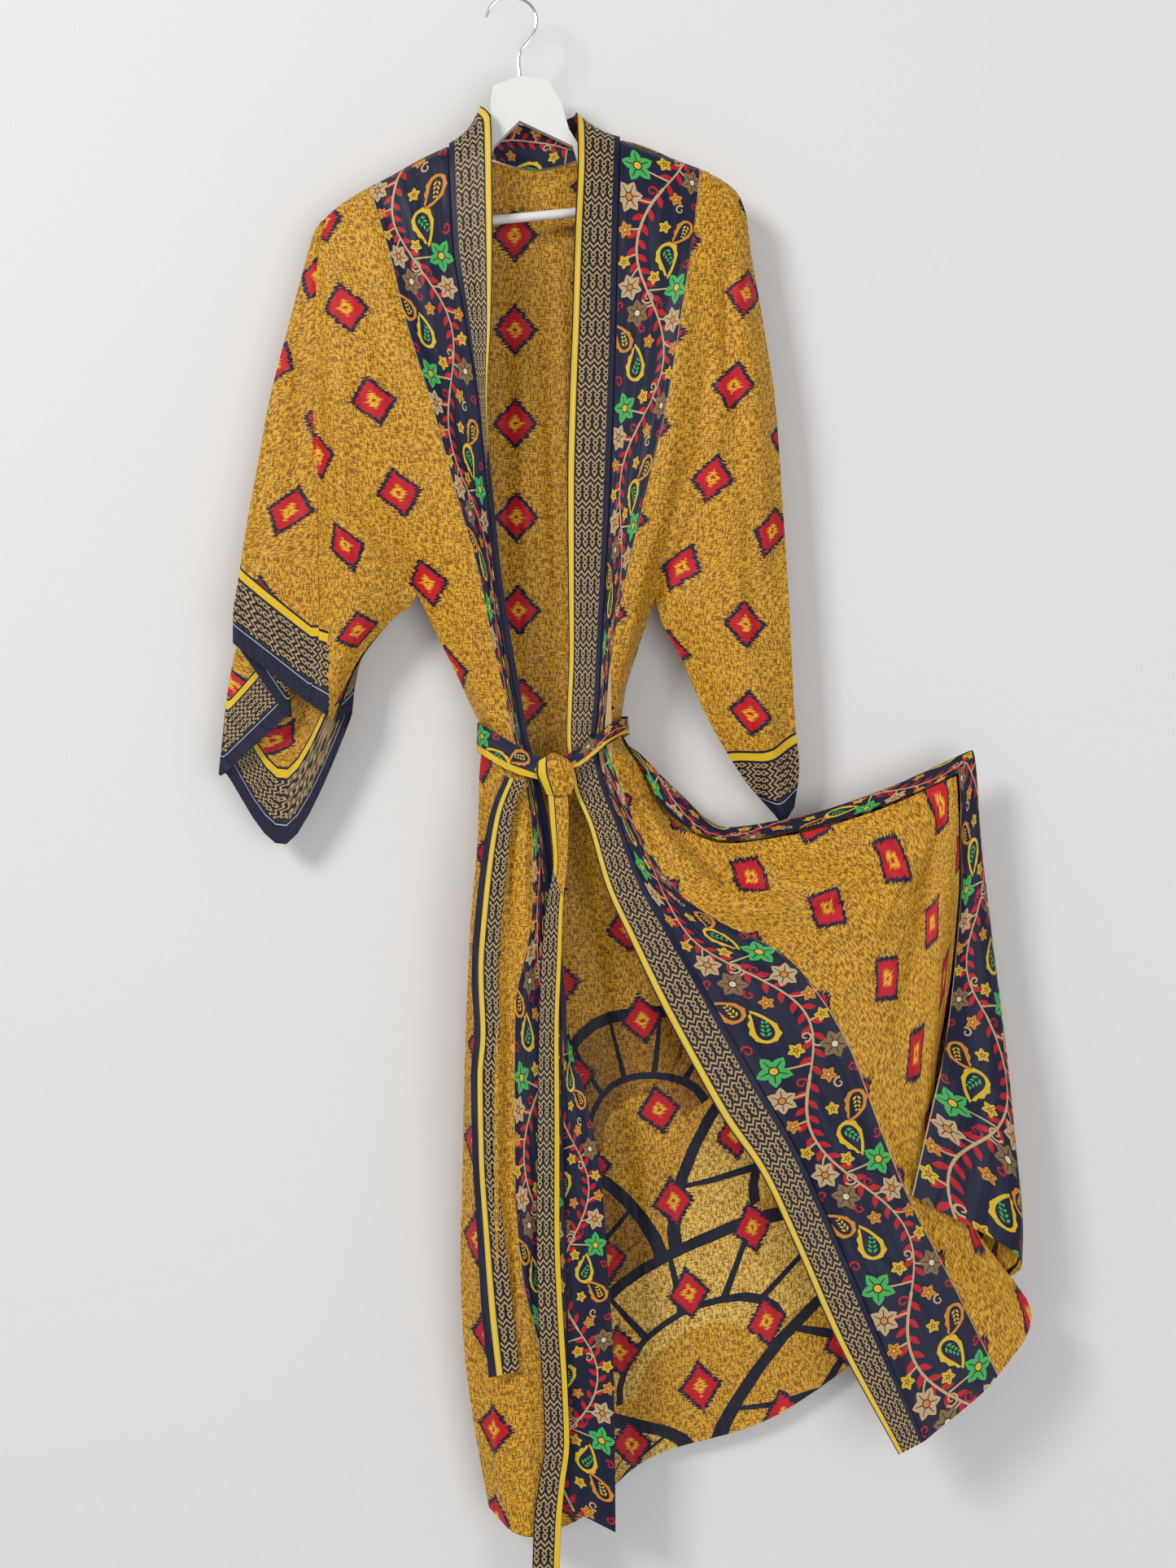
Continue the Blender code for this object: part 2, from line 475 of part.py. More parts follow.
left_body = surface(LEFT_FRONT)
left_sleeve = surface(LEFT_FRONT_SLEEVE)
share_armpit(left_body, left_sleeve, -1, 0, armpit)
cloth("front_left", [left_body, left_sleeve], CLOTH, "printed_cloth_left", OCHRE)

back_body = surface(BACK, col_steps=2)
back_left = surface(BACK_SLEEVE_LEFT, col_steps=2)
back_right = surface(BACK_SLEEVE_RIGHT)
share_armpit(back_body, back_left, 0, -1, armpit)
share_armpit(back_body, back_right, -1, 0, armpit)
cloth("back", [back_body, back_left, back_right], CLOTH, "printed_cloth_back", OCHRE)

band = surface(NECK_BAND, BAND_STEPS, BAND_STEPS)
parting = [row * BAND_STEPS for row in BAND_PARTINGS]
cloth("neck_band_right", [strip_part(band, 0, parting[0])], BAND, "band_cloth_right", NAVY)
cloth("neck_band", [strip_part(band, *parting)], BAND, "band_cloth", NAVY)
cloth("neck_band_left", [strip_part(band, parting[1], len(band) - 1)], BAND,
      "band_cloth_left", NAVY)
cloth("belt_wrap", [surface(BELT_WRAP, 3, 2)], BELT, "belt_cloth", NAVY)
cloth("belt_tail_left", [surface(TAIL_LEFT, 3, 2)], BELT, "tail_left_cloth", NAVY)
cloth("belt_tail_right", [surface(TAIL_RIGHT, 3, 2)], BELT, "tail_right_cloth", NAVY)
cloth("belt_knot", [surface(KNOT, 3, 3)], BELT, "knot_cloth", NAVY)

board = bmesh.new()
for y in (-BOARD / 2, BOARD / 2):
    loop = [board.verts.new(place((a, d, y / MM))) for a, d in BOARD_OUTLINE]
    board.faces.new(loop if y < 0 else loop[::-1])
board.verts.ensure_lookup_table()
corners = len(BOARD_OUTLINE)
for i in range(corners):
    j = (i + 1) % corners
    board.faces.new((board.verts[i], board.verts[i + corners],
                     board.verts[j + corners], board.verts[j]))
bmesh.ops.triangulate(board, faces=board.faces[:])
add_part("hanger_body", board, "white_paint", (0.86, 0.86, 0.85), 0.0, 0.35)

tube("hanger_bar", [place((a, d, 0.0)) for a, d in BAR_ENDS], BAR_R,
     "bar_paint", (0.86, 0.86, 0.85), 0.0, 0.35, 16)
tube("hanger_hook", smooth([place((a, d, 0.0)) for a, d in HOOK_LINE], 3, 0), WIRE_R,
     "hook_chrome", (0.75, 0.76, 0.78), 1.0, 0.18, 8)
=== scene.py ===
import math

import bpy
import numpy as np
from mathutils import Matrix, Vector
from mathutils.geometry import delaunay_2d_cdt


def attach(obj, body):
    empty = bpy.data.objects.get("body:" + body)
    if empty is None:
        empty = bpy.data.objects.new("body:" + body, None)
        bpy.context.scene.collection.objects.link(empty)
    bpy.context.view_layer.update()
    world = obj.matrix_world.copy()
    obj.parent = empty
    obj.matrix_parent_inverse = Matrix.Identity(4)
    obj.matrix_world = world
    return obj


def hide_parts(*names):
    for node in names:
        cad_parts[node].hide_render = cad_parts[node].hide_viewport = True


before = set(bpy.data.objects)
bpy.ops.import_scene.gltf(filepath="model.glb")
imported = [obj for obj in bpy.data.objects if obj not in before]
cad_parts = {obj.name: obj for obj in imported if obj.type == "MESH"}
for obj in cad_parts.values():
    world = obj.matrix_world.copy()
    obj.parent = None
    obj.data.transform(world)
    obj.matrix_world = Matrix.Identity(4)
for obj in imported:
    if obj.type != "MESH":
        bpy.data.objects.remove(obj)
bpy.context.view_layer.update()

# The cloth's tables are those of the solids: (across, down, depth), in drafting steps of
# UNIT counted right and down from the hook's inner top, depth in millimetres to the back.
UNIT = 0.00086
ORIGIN_ACROSS = 629.0
ORIGIN_DOWN = -1.0
MM = 0.001
ARMPIT_ROW = 7            # table row at which sleeve and body part
ROWS = 10                 # cloth cells between two table rows
COLS = 8                  # cloth cells between two table columns
PARTED = ARMPIT_ROW * ROWS
PRINT_SLOT, MOTIF_SLOT = 0, 1     # a cloth's two material slots

# Right front, body part: neck band seam, border's outer line, middle, armpit / side seam.
RIGHT_FRONT = [
    [(549, 181, -1.4), (455, 230, -1.4), (437, 240, -1.4), (420, 251, -1.4)],
    [(550, 188, -9), (457, 238, -9), (438, 248, -9), (420, 258, -8)],
    [(552, 222, -17), (464, 264, -16), (440, 272, -15), (418, 280, -14)],
    [(557, 310, -24), (480, 315, -26), (450, 320, -24), (425, 325, -22)],
    [(572, 400, -27), (502, 405, -30), (462, 410, -28), (430, 410, -24)],
    [(587, 500, -26), (532, 500, -32), (488, 505, -32), (440, 510, -26)],
    [(597, 600, -24), (560, 602, -32), (515, 608, -32), (470, 612, -22)],
    [(609, 715, -24), (592, 715, -30), (556, 720, -28), (512, 727, -1.4)],
    [(622, 800, -23), (608, 798, -28), (582, 800, -24), (547, 800, -1.4)],
    [(633, 862, -22), (622, 860, -27), (602, 858, -23), (573, 855, -1.4)],
    [(640, 905, -20), (632, 905, -25), (612, 905, -22), (592, 905, -1.4)],
    [(655, 960, -24), (646, 962, -28), (618, 960, -27), (589, 955, -1.4)],
    [(668, 1040, -26), (656, 1040, -32), (620, 1040, -32), (587, 1030, -1.4)],
    [(680, 1150, -28), (654, 1130, -36), (618, 1140, -35), (578, 1140, -1.4)],
    [(688, 1264, -30), (634, 1236, -38), (606, 1260, -37), (573, 1250, -1.4)],
    [(690, 1360, -32), (633, 1350, -38), (603, 1360, -38), (570, 1350, -1.4)],
    [(692, 1450, -32), (634, 1450, -38), (603, 1450, -38), (568, 1450, -1.4)],
    [(695, 1560, -32), (643, 1560, -38), (606, 1560, -38), (566, 1550, -1.4)],
    [(696, 1660, -32), (664, 1655, -36), (620, 1660, -36), (570, 1650, -1.4)],
    [(694, 1750, -30), (671, 1754, -34), (628, 1750, -34), (581, 1740, -1.4)],
    [(688, 1838, -28), (666, 1874, -32), (633, 1872, -32), (601, 1852, -1.4)],
]
# Right front, sleeve part: armpit / under seam, middle, overarm seam in its deep fold.
RIGHT_FRONT_SLEEVE = [
    [(420, 251, -1.4), (411, 258, -1.4), (402, 266, -1.4)],
    [(420, 258, -8), (411, 264, -7), (401, 272, -5)],
    [(418, 280, -14), (407, 286, -12), (396, 294, -8)],
    [(425, 325, -22), (408, 328, -20), (391, 330, -10)],
    [(430, 410, -24), (408, 410, -22), (388, 410, -10)],
    [(440, 510, -26), (412, 508, -24), (386, 505, -10)],
    [(470, 612, -22), (426, 608, -26), (386, 600, -10)],
    [(512, 727, -1.4), (446, 716, -24), (387, 695, -11)],
    [(478, 765, -1.4), (432, 762, -20), (388, 742, -12)],
    [(440, 812, -3), (416, 812, -18), (388, 794, -14)],
    [(410, 884, -10), (398, 876, -18), (384, 866, -19)],
]
# Left front, body part down to the belt, then out to the held-out side.
LEFT_FRONT = [
    [(765, 173, -1.4), (860, 208, -1.4), (874, 215, -1.4), (886, 221, -1.4)],
    [(765, 181, -9), (860, 216, -9), (874, 223, -9), (886, 229, -8)],
    [(763, 216, -17), (857, 246, -16), (873, 252, -15), (886, 257, -14)],
    [(760, 300, -24), (850, 300, -26), (870, 305, -25), (888, 310, -22)],
    [(758, 400, -28), (835, 400, -32), (862, 400, -29), (890, 405, -24)],
    [(755, 500, -30), (819, 500, -34), (850, 505, -32), (888, 510, -26)],
    [(751, 600, -30), (794, 605, -36), (825, 610, -32), (858, 618, -22)],
    [(745, 715, -30), (768, 715, -34), (786, 722, -30), (806, 733, -1.4)],
    [(740, 800, -30), (752, 800, -34), (768, 798, -28), (785, 795, -1.4)],
    [(737, 862, -28), (745, 860, -31), (756, 857, -25), (768, 853, -1.4)],
    [(733, 905, -26), (742, 904, -29), (752, 902, -24), (763, 900, -1.4)],
    [(741, 955, -30), (756, 950, -33), (769, 945, -28), (784, 942, -4)],
    [(762, 1010, -34), (790, 1032, -38), (808, 1020, -34), (822, 1006, -12)],
    [(788, 1078, -36), (832, 1094, -44), (866, 1072, -44), (893, 1036, -16)],
    [(822, 1138, -38), (882, 1130, -46), (930, 1105, -50), (970, 1026, -18)],
    [(856, 1195, -40), (950, 1163, -48), (1020, 1105, -50), (1075, 996, -18)],
    [(893, 1262, -42), (1002, 1218, -50), (1085, 1130, -46), (1172, 954, -14)],
    [(932, 1330, -44), (1038, 1280, -52), (1110, 1205, -46), (1175, 1060, -20)],
    [(973, 1400, -44), (1068, 1360, -50), (1126, 1295, -40), (1167, 1168, -24)],
    [(1015, 1492, -46), (1106, 1455, -46), (1134, 1380, -34), (1147, 1290, -31)],
    [(1068, 1615, -46), (1163, 1566, -43), (1188, 1500, -28), (1121, 1398, -31)],
    [(1129, 1756, -46), (1219, 1678, -40), (1256, 1590, -26), (1108, 1462, -29)],
]
# Left front, sleeve part: armpit / under seam, middle, overarm seam on the outer edge.
LEFT_FRONT_SLEEVE = [
    [(886, 221, -1.4), (896, 228, -1.4), (905, 236, -1.4)],
    [(886, 229, -8), (898, 236, -6), (909, 243, -1.4)],
    [(886, 257, -14), (902, 258, -10), (916, 262, -1.4)],
    [(888, 310, -22), (906, 310, -18), (923, 312, -1.4)],
    [(890, 405, -24), (914, 405, -22), (938, 400, -1.4)],
    [(888, 510, -26), (922, 508, -26), (953, 500, -1.4)],
    [(858, 618, -22), (912, 618, -28), (961, 612, -1.4)],
    [(806, 733, -1.4), (890, 740, -26), (969, 735, -1.4)],
    [(840, 815, -1.4), (905, 815, -26), (973, 810, -1.4)],
    [(870, 883, -0.4), (926, 890, -20), (977, 888, -0.4)],
    [(917, 960, 9.6), (950, 955, -2), (983, 945, 9.6)],
    [(950, 998, 17.6), (964, 1010, 12), (978, 992, 17.6)],
]
# Back, body part, left side seam to right side seam round the fold of the held-out side.
# Columns: left side, shoulder, neck side, centre, neck side, shoulder, fold, right side.
BACK = [
    [(420, 251, 1.4), (549, 181, 1.4), (600, 194, 10), (655, 207, 12),
     (710, 196, 10), (765, 173, 1.4), (845, 203, 1.4), (886, 221, 1.4)],
    [(420, 258, 8), (549, 189, 9), (600, 203, 14), (655, 214, 15),
     (710, 204, 14), (765, 181, 9), (845, 211, 9), (886, 229, 8)],
    [(418, 280, 14), (549, 232, 17), (601, 236, 19), (655, 238, 20),
     (709, 234, 19), (765, 226, 17), (845, 244, 16), (886, 257, 14)],
    [(425, 325, 20), (550, 320, 22), (602, 320, 24), (655, 320, 25),
     (708, 318, 24), (762, 316, 22), (840, 312, 22), (888, 310, 20)],
    [(430, 410, 22), (552, 410, 25), (604, 410, 27), (655, 410, 28),
     (706, 408, 27), (758, 406, 26), (835, 406, 24), (890, 405, 22)],
    [(440, 510, 24), (556, 510, 26), (606, 510, 28), (655, 510, 29),
     (704, 508, 28), (756, 508, 27), (830, 509, 25), (888, 510, 24)],
    [(470, 612, 20), (564, 610, 26), (610, 610, 28), (656, 610, 29),
     (702, 610, 28), (752, 610, 27), (812, 614, 24), (858, 618, 20)],
    [(512, 727, 1.4), (575, 722, 22), (616, 720, 27), (658, 720, 28),
     (700, 720, 27), (742, 722, 24), (782, 728, 16), (806, 733, 1.4)],
    [(547, 800, 1.4), (592, 800, 20), (626, 800, 26), (662, 800, 27),
     (698, 800, 26), (734, 799, 23), (766, 797, 14), (785, 795, 1.4)],
    [(573, 855, 1.4), (604, 856, 18), (634, 858, 24), (666, 858, 26),
     (698, 857, 24), (730, 856, 20), (756, 854, 12), (768, 853, 1.4)],
    [(592, 905, 1.4), (612, 905, 17), (638, 905, 23), (668, 904, 25),
     (698, 903, 23), (728, 902, 19), (752, 901, 11), (763, 900, 1.4)],
    [(589, 955, 1.4), (610, 958, 20), (640, 962, 26), (674, 964, 28),
     (708, 962, 26), (742, 954, 22), (784, 926, 4), (786, 940, -5)],
    [(587, 1030, 1.4), (612, 1036, 24), (646, 1045, 30), (686, 1050, 32),
     (730, 1046, 30), (776, 1030, 24), (832, 974, 3), (825, 1003, -12)],
    [(578, 1140, 1.4), (610, 1144, 28), (650, 1152, 34), (700, 1154, 36),
     (760, 1140, 34), (826, 1100, 26), (890, 1020, 2), (893, 1033, -16)],
    [(573, 1250, 1.4), (610, 1254, 30), (656, 1260, 36), (716, 1256, 38),
     (790, 1230, 36), (880, 1160, 30), (965, 1014, 2), (970, 1023, -18)],
    [(570, 1350, 1.4), (610, 1354, 30), (662, 1360, 36), (732, 1350, 38),
     (824, 1310, 38), (940, 1200, 34), (1072, 985, 2), (1075, 992.5, -18)],
    [(568, 1450, 1.4), (612, 1454, 30), (668, 1456, 36), (748, 1440, 38),
     (858, 1390, 38), (1000, 1240, 34), (1182, 941, 2), (1175, 951, -14)],
    [(566, 1550, 1.4), (614, 1554, 30), (674, 1554, 36), (764, 1536, 38),
     (888, 1470, 38), (1050, 1320, 34), (1198, 1060, -2), (1178.5, 1060, -20)],
    [(570, 1650, 1.4), (620, 1652, 28), (682, 1650, 34), (780, 1628, 36),
     (916, 1556, 36), (1090, 1410, 32), (1218, 1180, -2), (1170.5, 1168, -24)],
    [(581, 1740, 1.4), (630, 1744, 26), (690, 1740, 32), (790, 1712, 34),
     (935, 1636, 34), (1118, 1500, 30), (1238, 1340, -16), (1151.5, 1290, -39)],
    [(592, 1806, 1.4), (636, 1826, 26), (697, 1818, 32), (796, 1766, 34),
     (948, 1690, 34), (1136, 1560, 30), (1252, 1500, -24), (1125.5, 1398, -51)],
    [(601, 1852, 1.4), (640, 1882, 24), (705, 1882, 30), (800, 1802, 32),
     (960, 1748, 32), (1150, 1610, 26), (1250, 1546, -28), (1111.5, 1458, -57)],
]
# Back, the part round the viewer's left sleeve, from the overarm seam behind to the armpit.
# Columns: overarm seam, outer fold twice, tuck twice, low fold twice, point, under fold, armpit.
BACK_SLEEVE_LEFT = [
    [(393, 272.5, 1.4), (395, 271.5, 1.4), (397.5, 270, 1.4), (400, 268, 1.4), (402.5, 266, 1.4),
     (405, 264, 1.4), (408, 262, 1.4), (411, 259.5, 1.4), (415.5, 255, 1.4), (420, 251, 1.4)],
    [(394, 280, -5), (387, 284, -1), (387, 284, 3.5), (391, 282, 6.5), (395, 279, 7.6),
     (399, 276, 8), (403, 273, 8.2), (408, 269, 8.3), (414, 263.5, 8.2), (420, 258, 8)],
    [(390.5, 298, -7.5), (382, 300, -2), (382, 300, 4), (386, 298, 8), (390, 296, 10.5),
     (395, 294, 12), (400, 291, 13), (406, 288, 13.6), (412, 284, 14), (418, 280, 14)],
    [(387, 331, -9), (373, 335, -3), (373, 335, 4), (378, 334, 9), (384, 333, 12.5),
     (391, 332, 15), (398, 331, 17), (406, 329, 18.6), (415, 327, 19.6), (425, 325, 20)],
    [(384, 410, -8.5), (356, 404, -3), (356, 404, 4), (364, 405, 10), (373, 406, 14),
     (383, 407, 17), (393, 408, 19.5), (404, 409, 21), (416, 410, 22), (430, 410, 22)],
    [(382, 505, -8.5), (335, 495, -5), (335, 495, 2.5), (345, 498, 9), (358, 501, 14),
     (370, 503, 18), (384, 506, 21), (400, 508, 23), (419, 510, 24), (440, 510, 24)],
    [(382, 600, -9), (319, 590, -7), (319, 590, 0), (330, 594, 6), (344, 598, 12),
     (360, 601, 17), (380, 604, 21), (404, 608, 23), (436, 611, 22), (470, 612, 20)],
    [(383, 695, -10), (306, 678, -11), (306, 680, -5), (322, 688, 0), (322, 692, 5),
     (318, 696, 10), (334, 702, 15), (380, 710, 21), (450, 720, 17), (512, 727, 1.4)],
    [(384, 742, -11), (301, 722, -14), (302, 724, -9), (338, 744, -5), (338, 746, 0.5),
     (302, 766, 6), (303, 768, 11), (362, 800, 18), (436, 774, 13), (478, 765, 1.4)],
    [(384, 794, -13), (297, 760, -17), (298, 762, -12), (345, 806, -7.5), (345, 808, -2.5),
     (287, 842, 3), (288, 845, 8), (352, 900, 16), (431, 832, 9), (441, 815, 0)],
    [(380, 864, -18), (297, 798, -20), (298, 800, -15), (352, 878, -10.5), (352, 881, -5.5),
     (277, 950, -1), (278, 952, 4.5), (350, 1038, 12), (430, 884, 5), (412, 888, -7)],
]
# Back, the part round the viewer's right sleeve: the left front's sleeve at these depths.
BACK_SLEEVE_RIGHT_DEPTHS = [
    (1.4, 1.4, 1.4), (8, 6, 1.4), (14, 10, 1.4), (20, 16, 1.4), (22, 20, 1.4), (24, 24, 1.4),
    (20, 26, 1.4), (1.4, 26, 1.4), (1.4, 26, 1.4), (2.4, 24, 2.4), (12.4, 28, 12.4), (20.4, 28, 20.4),
]
BACK_SLEEVE_RIGHT = [
    [(*point[:2], depth) for point, depth in zip(row, depths)]
    for row, depths in zip(LEFT_FRONT_SLEEVE, BACK_SLEEVE_RIGHT_DEPTHS)
]
# Neck band: (seam edge, free edge) from the right front's hem up, round the neck and down.
NECK_BAND = [
    [(690, 1839, -29), (756, 1871, -34)],
    [(696.5, 1750, -31), (755, 1770, -38)],
    [(698.5, 1660, -33), (753, 1650, -40)],
    [(697.5, 1560, -33), (747, 1556, -40)],
    [(694.5, 1450, -33), (739, 1446, -40)],
    [(692.5, 1360, -33), (722, 1350, -36)],
    [(690.5, 1264, -31), (698, 1258, -20)],
    [(682.5, 1150, -29), (690, 1148, -14)],
    [(670.5, 1040, -27), (682, 1038, -8)],
    [(657.5, 960, -25), (664, 958, -6)],
    [(642.5, 905, -21), (648, 903, -4)],
    [(635.5, 862, -23), (641, 861, -6)],
    [(624.5, 800, -24), (629, 800, -4)],
    [(611.5, 715, -25), (614, 715, -6)],
    [(599.5, 600, -26), (604, 600, -14)],
    [(589.5, 500, -28), (600, 500, -32)],
    [(574.5, 400, -29), (605, 400, -34)],
    [(559.5, 310, -26), (607, 300, -34)],
    [(554, 215, -19), (606, 200, -30)],
    [(552, 177, -3), (604, 150, -20)],
    [(569, 176, 8), (590, 132, -4)],
    [(597, 189.5, 12), (597, 134, 11)],
    [(655, 203.5, 15), (655, 150, 19)],
    [(711, 192, 12), (704, 140, 11)],
    [(742, 171, 6), (708, 139, -4)],
    [(762, 169, -3), (709, 160, -20)],
    [(760, 210, -19), (710, 205, -30)],
    [(757.5, 300, -26), (706, 300, -34)],
    [(755.5, 400, -30), (703, 400, -36)],
    [(752.5, 500, -32), (699, 500, -36)],
    [(748.5, 600, -32), (697, 600, -34)],
    [(742.5, 715, -32), (698, 715, -34)],
    [(737.5, 800, -31), (699, 800, -33)],
    [(734.5, 862, -29), (697, 862, -31)],
    [(730.5, 905, -27), (696, 905, -30)],
    [(739.7, 956.4, -31), (704, 966, -34)],
    [(760.7, 1011.4, -35), (722, 1012, -36)],
    [(786.7, 1079.4, -37), (744, 1088, -38)],
    [(820.7, 1139.4, -39), (772, 1150, -40)],
    [(854.7, 1196.4, -41), (806, 1222, -42)],
    [(891.7, 1263.4, -43), (846, 1298, -44)],
    [(930.7, 1331.4, -45), (888, 1372, -46)],
    [(971.7, 1401.4, -45), (930, 1432, -46)],
    [(1013.7, 1493.4, -47), (972, 1520, -48)],
    [(1066.7, 1616.4, -47), (1022, 1634, -48)],
    [(1127.7, 1756.4, -47), (1097, 1772, -48)],
]
# Belt round the waist: (upper edge, lower edge) from the knot round the left side and back.
BELT_WRAP = [
    [(658, 928, -42), (652, 956, -42)],
    [(632, 914, -38), (628, 948, -38)],
    [(602, 896, -30), (600, 932, -32)],
    [(588, 889, -14), (587, 924, -14)],
    [(586, 888, 8), (585, 922, 8)],
    [(602, 886, 27), (600, 920, 29)],
    [(640, 884, 33), (638, 918, 34)],
    [(684, 882, 34), (686, 916, 36)],
    [(728, 881, 31), (732, 912, 32)],
    [(758, 880, 22), (762, 908, 23)],
    [(772, 880, 6), (774, 902, 6)],
    [(770, 882, -14), (769, 902, -16)],
    [(752, 890, -34), (752, 910, -35)],
    [(728, 908, -40), (730, 928, -41)],
    [(708, 922, -42), (710, 943, -43)],
]
# Belt tails: (left edge, right edge) going down.
TAIL_LEFT = [
    [(622, 954, -43), (646, 961, -43)],
    [(604, 1000, -42), (632, 1002, -42)],
    [(588, 1105, -43), (620, 1105, -43)],
    [(582, 1191, -44), (614, 1191, -44)],
    [(585, 1264, -45), (616, 1264, -45)],
    [(581, 1319, -45), (613, 1319, -45)],
    [(583, 1414, -45), (614, 1414, -45)],
    [(588, 1497, -45), (620, 1497, -45)],
    [(594, 1600, -45), (632, 1598, -45)],
    [(603, 1680, -45), (640, 1672, -45)],
]
TAIL_RIGHT = [
    [(672, 966, -48), (697, 966, -47)],
    [(675, 1004, -46), (699, 1004, -46)],
    [(680, 1060, -44), (697, 1060, -44)],
    [(672, 1110, -43), (692, 1110, -43)],
    [(666, 1178, -44), (690, 1178, -44)],
    [(663, 1264, -45), (687, 1264, -45)],
    [(661, 1400, -45), (688, 1400, -45)],
    [(660, 1500, -45), (688, 1500, -45)],
    [(662, 1600, -45), (692, 1600, -45)],
    [(668, 1700, -43), (698, 1700, -43)],
    [(670, 1760, -42), (700, 1760, -42)],
    [(663, 1810, -42), (694, 1812, -42)],
    [(657, 1860, -42), (690, 1862, -42)],
    [(655, 1927, -42), (688, 1928, -42)],
    [(655, 1962, -42), (688, 1962, -42)],
]

# Creases: (across 1, down 1, across 2, down 2, half width in steps, depth in mm).
# A positive depth is a trough, a negative one a ridge, both seen from the front.
RIGHT_FRONT_CREASES = [
    (470, 235, 560, 520, 16, 3.5), (500, 420, 600, 700, 12, -4.0), (440, 330, 560, 760, 14, 4.0),
    (420, 470, 540, 770, 12, -4.5), (400, 560, 520, 730, 11, 4.0), (470, 700, 590, 880, 9, 3.5),
    (530, 760, 612, 900, 7, -4.0), (560, 690, 618, 890, 6, 4.0), (394, 330, 392, 860, 7, 5.0),
    (428, 420, 418, 800, 8, -4.0), (405, 600, 470, 750, 8, 3.0),
    (600, 925, 594, 1500, 6, 4.5), (612, 925, 612, 1830, 6, -4.5), (628, 930, 626, 1780, 6, 5.0),
    (645, 930, 648, 1300, 6, -4.0), (584, 1000, 580, 1800, 6, -2.0), (655, 1250, 662, 1830, 7, 3.5),
]
LEFT_FRONT_CREASES = [
    (893, 320, 890, 470, 8, 5.0), (868, 430, 850, 640, 8, 4.5), (888, 440, 868, 690, 8, -4.5),
    (905, 420, 905, 640, 8, 3.5), (845, 330, 812, 640, 12, -4.0), (850, 560, 800, 720, 7, 4.5),
    (930, 420, 945, 820, 9, -3.5), (912, 560, 930, 860, 9, 4.0), (820, 660, 762, 890, 7, 4.0),
    (795, 700, 752, 900, 6, -4.0), (870, 720, 930, 950, 10, 4.0), (900, 700, 955, 940, 9, -3.5),
    (755, 925, 820, 1060, 7, 6.0), (765, 945, 905, 1100, 11, 8.0), (770, 925, 870, 1010, 6, -5.0),
    (860, 1060, 985, 1105, 12, 7.0), (800, 990, 930, 1072, 8, -6.0), (930, 1055, 1080, 1040, 10, 6.0),
    (905, 1120, 1080, 1075, 14, -6.0), (1000, 1135, 1150, 1010, 12, 5.0), (960, 1165, 1120, 1110, 12, -4.0),
    (1165, 960, 1090, 1300, 12, 6.0), (1168, 960, 1130, 1380, 9, -5.0), (1160, 975, 1020, 1240, 13, -4.0),
    (800, 1110, 900, 1260, 9, -3.0), (1010, 1250, 1140, 1520, 14, -4.5), (1060, 1320, 1190, 1600, 12, 4.5),
    (1100, 1480, 1235, 1560, 12, 6.0), (1150, 1560, 1240, 1590, 8, -6.0), (900, 1230, 1080, 1640, 12, 2.5),
]
BACK_CREASES = [
    (640, 300, 650, 880, 9, -3.0), (668, 260, 690, 880, 8, 3.5), (690, 320, 700, 880, 8, -3.5),
    (615, 330, 620, 860, 8, 2.5), (470, 330, 560, 760, 14, -4.0), (840, 330, 790, 720, 12, 4.0),
    (520, 420, 610, 860, 12, 4.0), (790, 420, 740, 860, 11, -4.0),
    (640, 930, 660, 1700, 12, -5.0), (700, 940, 760, 1400, 11, 5.0), (720, 950, 830, 1300, 10, -5.0),
    (760, 1000, 900, 1500, 14, 6.0), (790, 1330, 820, 1760, 16, -5.0), (880, 1400, 980, 1740, 16, 5.0),
    (690, 1300, 720, 1840, 10, 5.0), (860, 1100, 1050, 1500, 18, -6.0), (950, 1150, 1140, 1500, 18, 6.0),
    (1100, 1040, 1180, 1420, 16, -5.0), (1196, 1000, 1216, 1480, 7, -4.0), (1186, 990, 1190, 1480, 7, 4.0),
    (330, 520, 318, 700, 9, 4.0), (355, 420, 345, 720, 8, -3.0), (372, 380, 360, 700, 8, 4.0),
]
# Belt ends carried in under the knot, and the knot's loop: (left, middle, right), going down.
BELT_ENDS = [[(680, 938, -48), (678, 962, -48)], [(690, 931, -47), (692, 950, -47)]]
KNOT_LOOP = [
    [(668, 933, -45), (680, 926, -47), (694, 931, -45)],
    [(661, 937, -49), (680, 930, -54), (701, 937, -49)],
    [(660, 950, -50), (681, 948, -56), (705, 951, -50)],
    [(665, 963, -50), (684, 963, -55), (705, 965, -50)],
    [(671, 976, -48), (687, 977, -51), (702, 976, -48)],
]
KNOT_CREASES = [
    (672, 930, 690, 976, 3, 1.8), (684, 928, 699, 974, 3, -1.5), (664, 938, 676, 974, 3, -1.2),
]

NAVY = (0.0050, 0.0066, 0.0290)
RED = (0.50, 0.004, 0.012)
YELLOW = (0.72, 0.47, 0.012)
PALE = (0.72, 0.62, 0.34)
ORANGE = (0.66, 0.24, 0.012)
GREEN = (0.06, 0.42, 0.085)
TAN = (0.56, 0.38, 0.185)
TAN_DARK = (0.24, 0.135, 0.045)
OCHRE = (0.72, 0.385, 0.026)
OCHRE_LIGHT = (0.86, 0.56, 0.110)
OCHRE_DARK = (0.42, 0.20, 0.014)
CLOUD_SHADE = (0.62, 0.56, 0.45)
SLUB_SHADE = (0.32, 0.22, 0.12)
CHAIN_DARK = (0.005, 0.006, 0.012)
CHAIN_TAN = (0.47, 0.31, 0.13)
STITCH_GREY = (0.5, 0.5, 0.5)

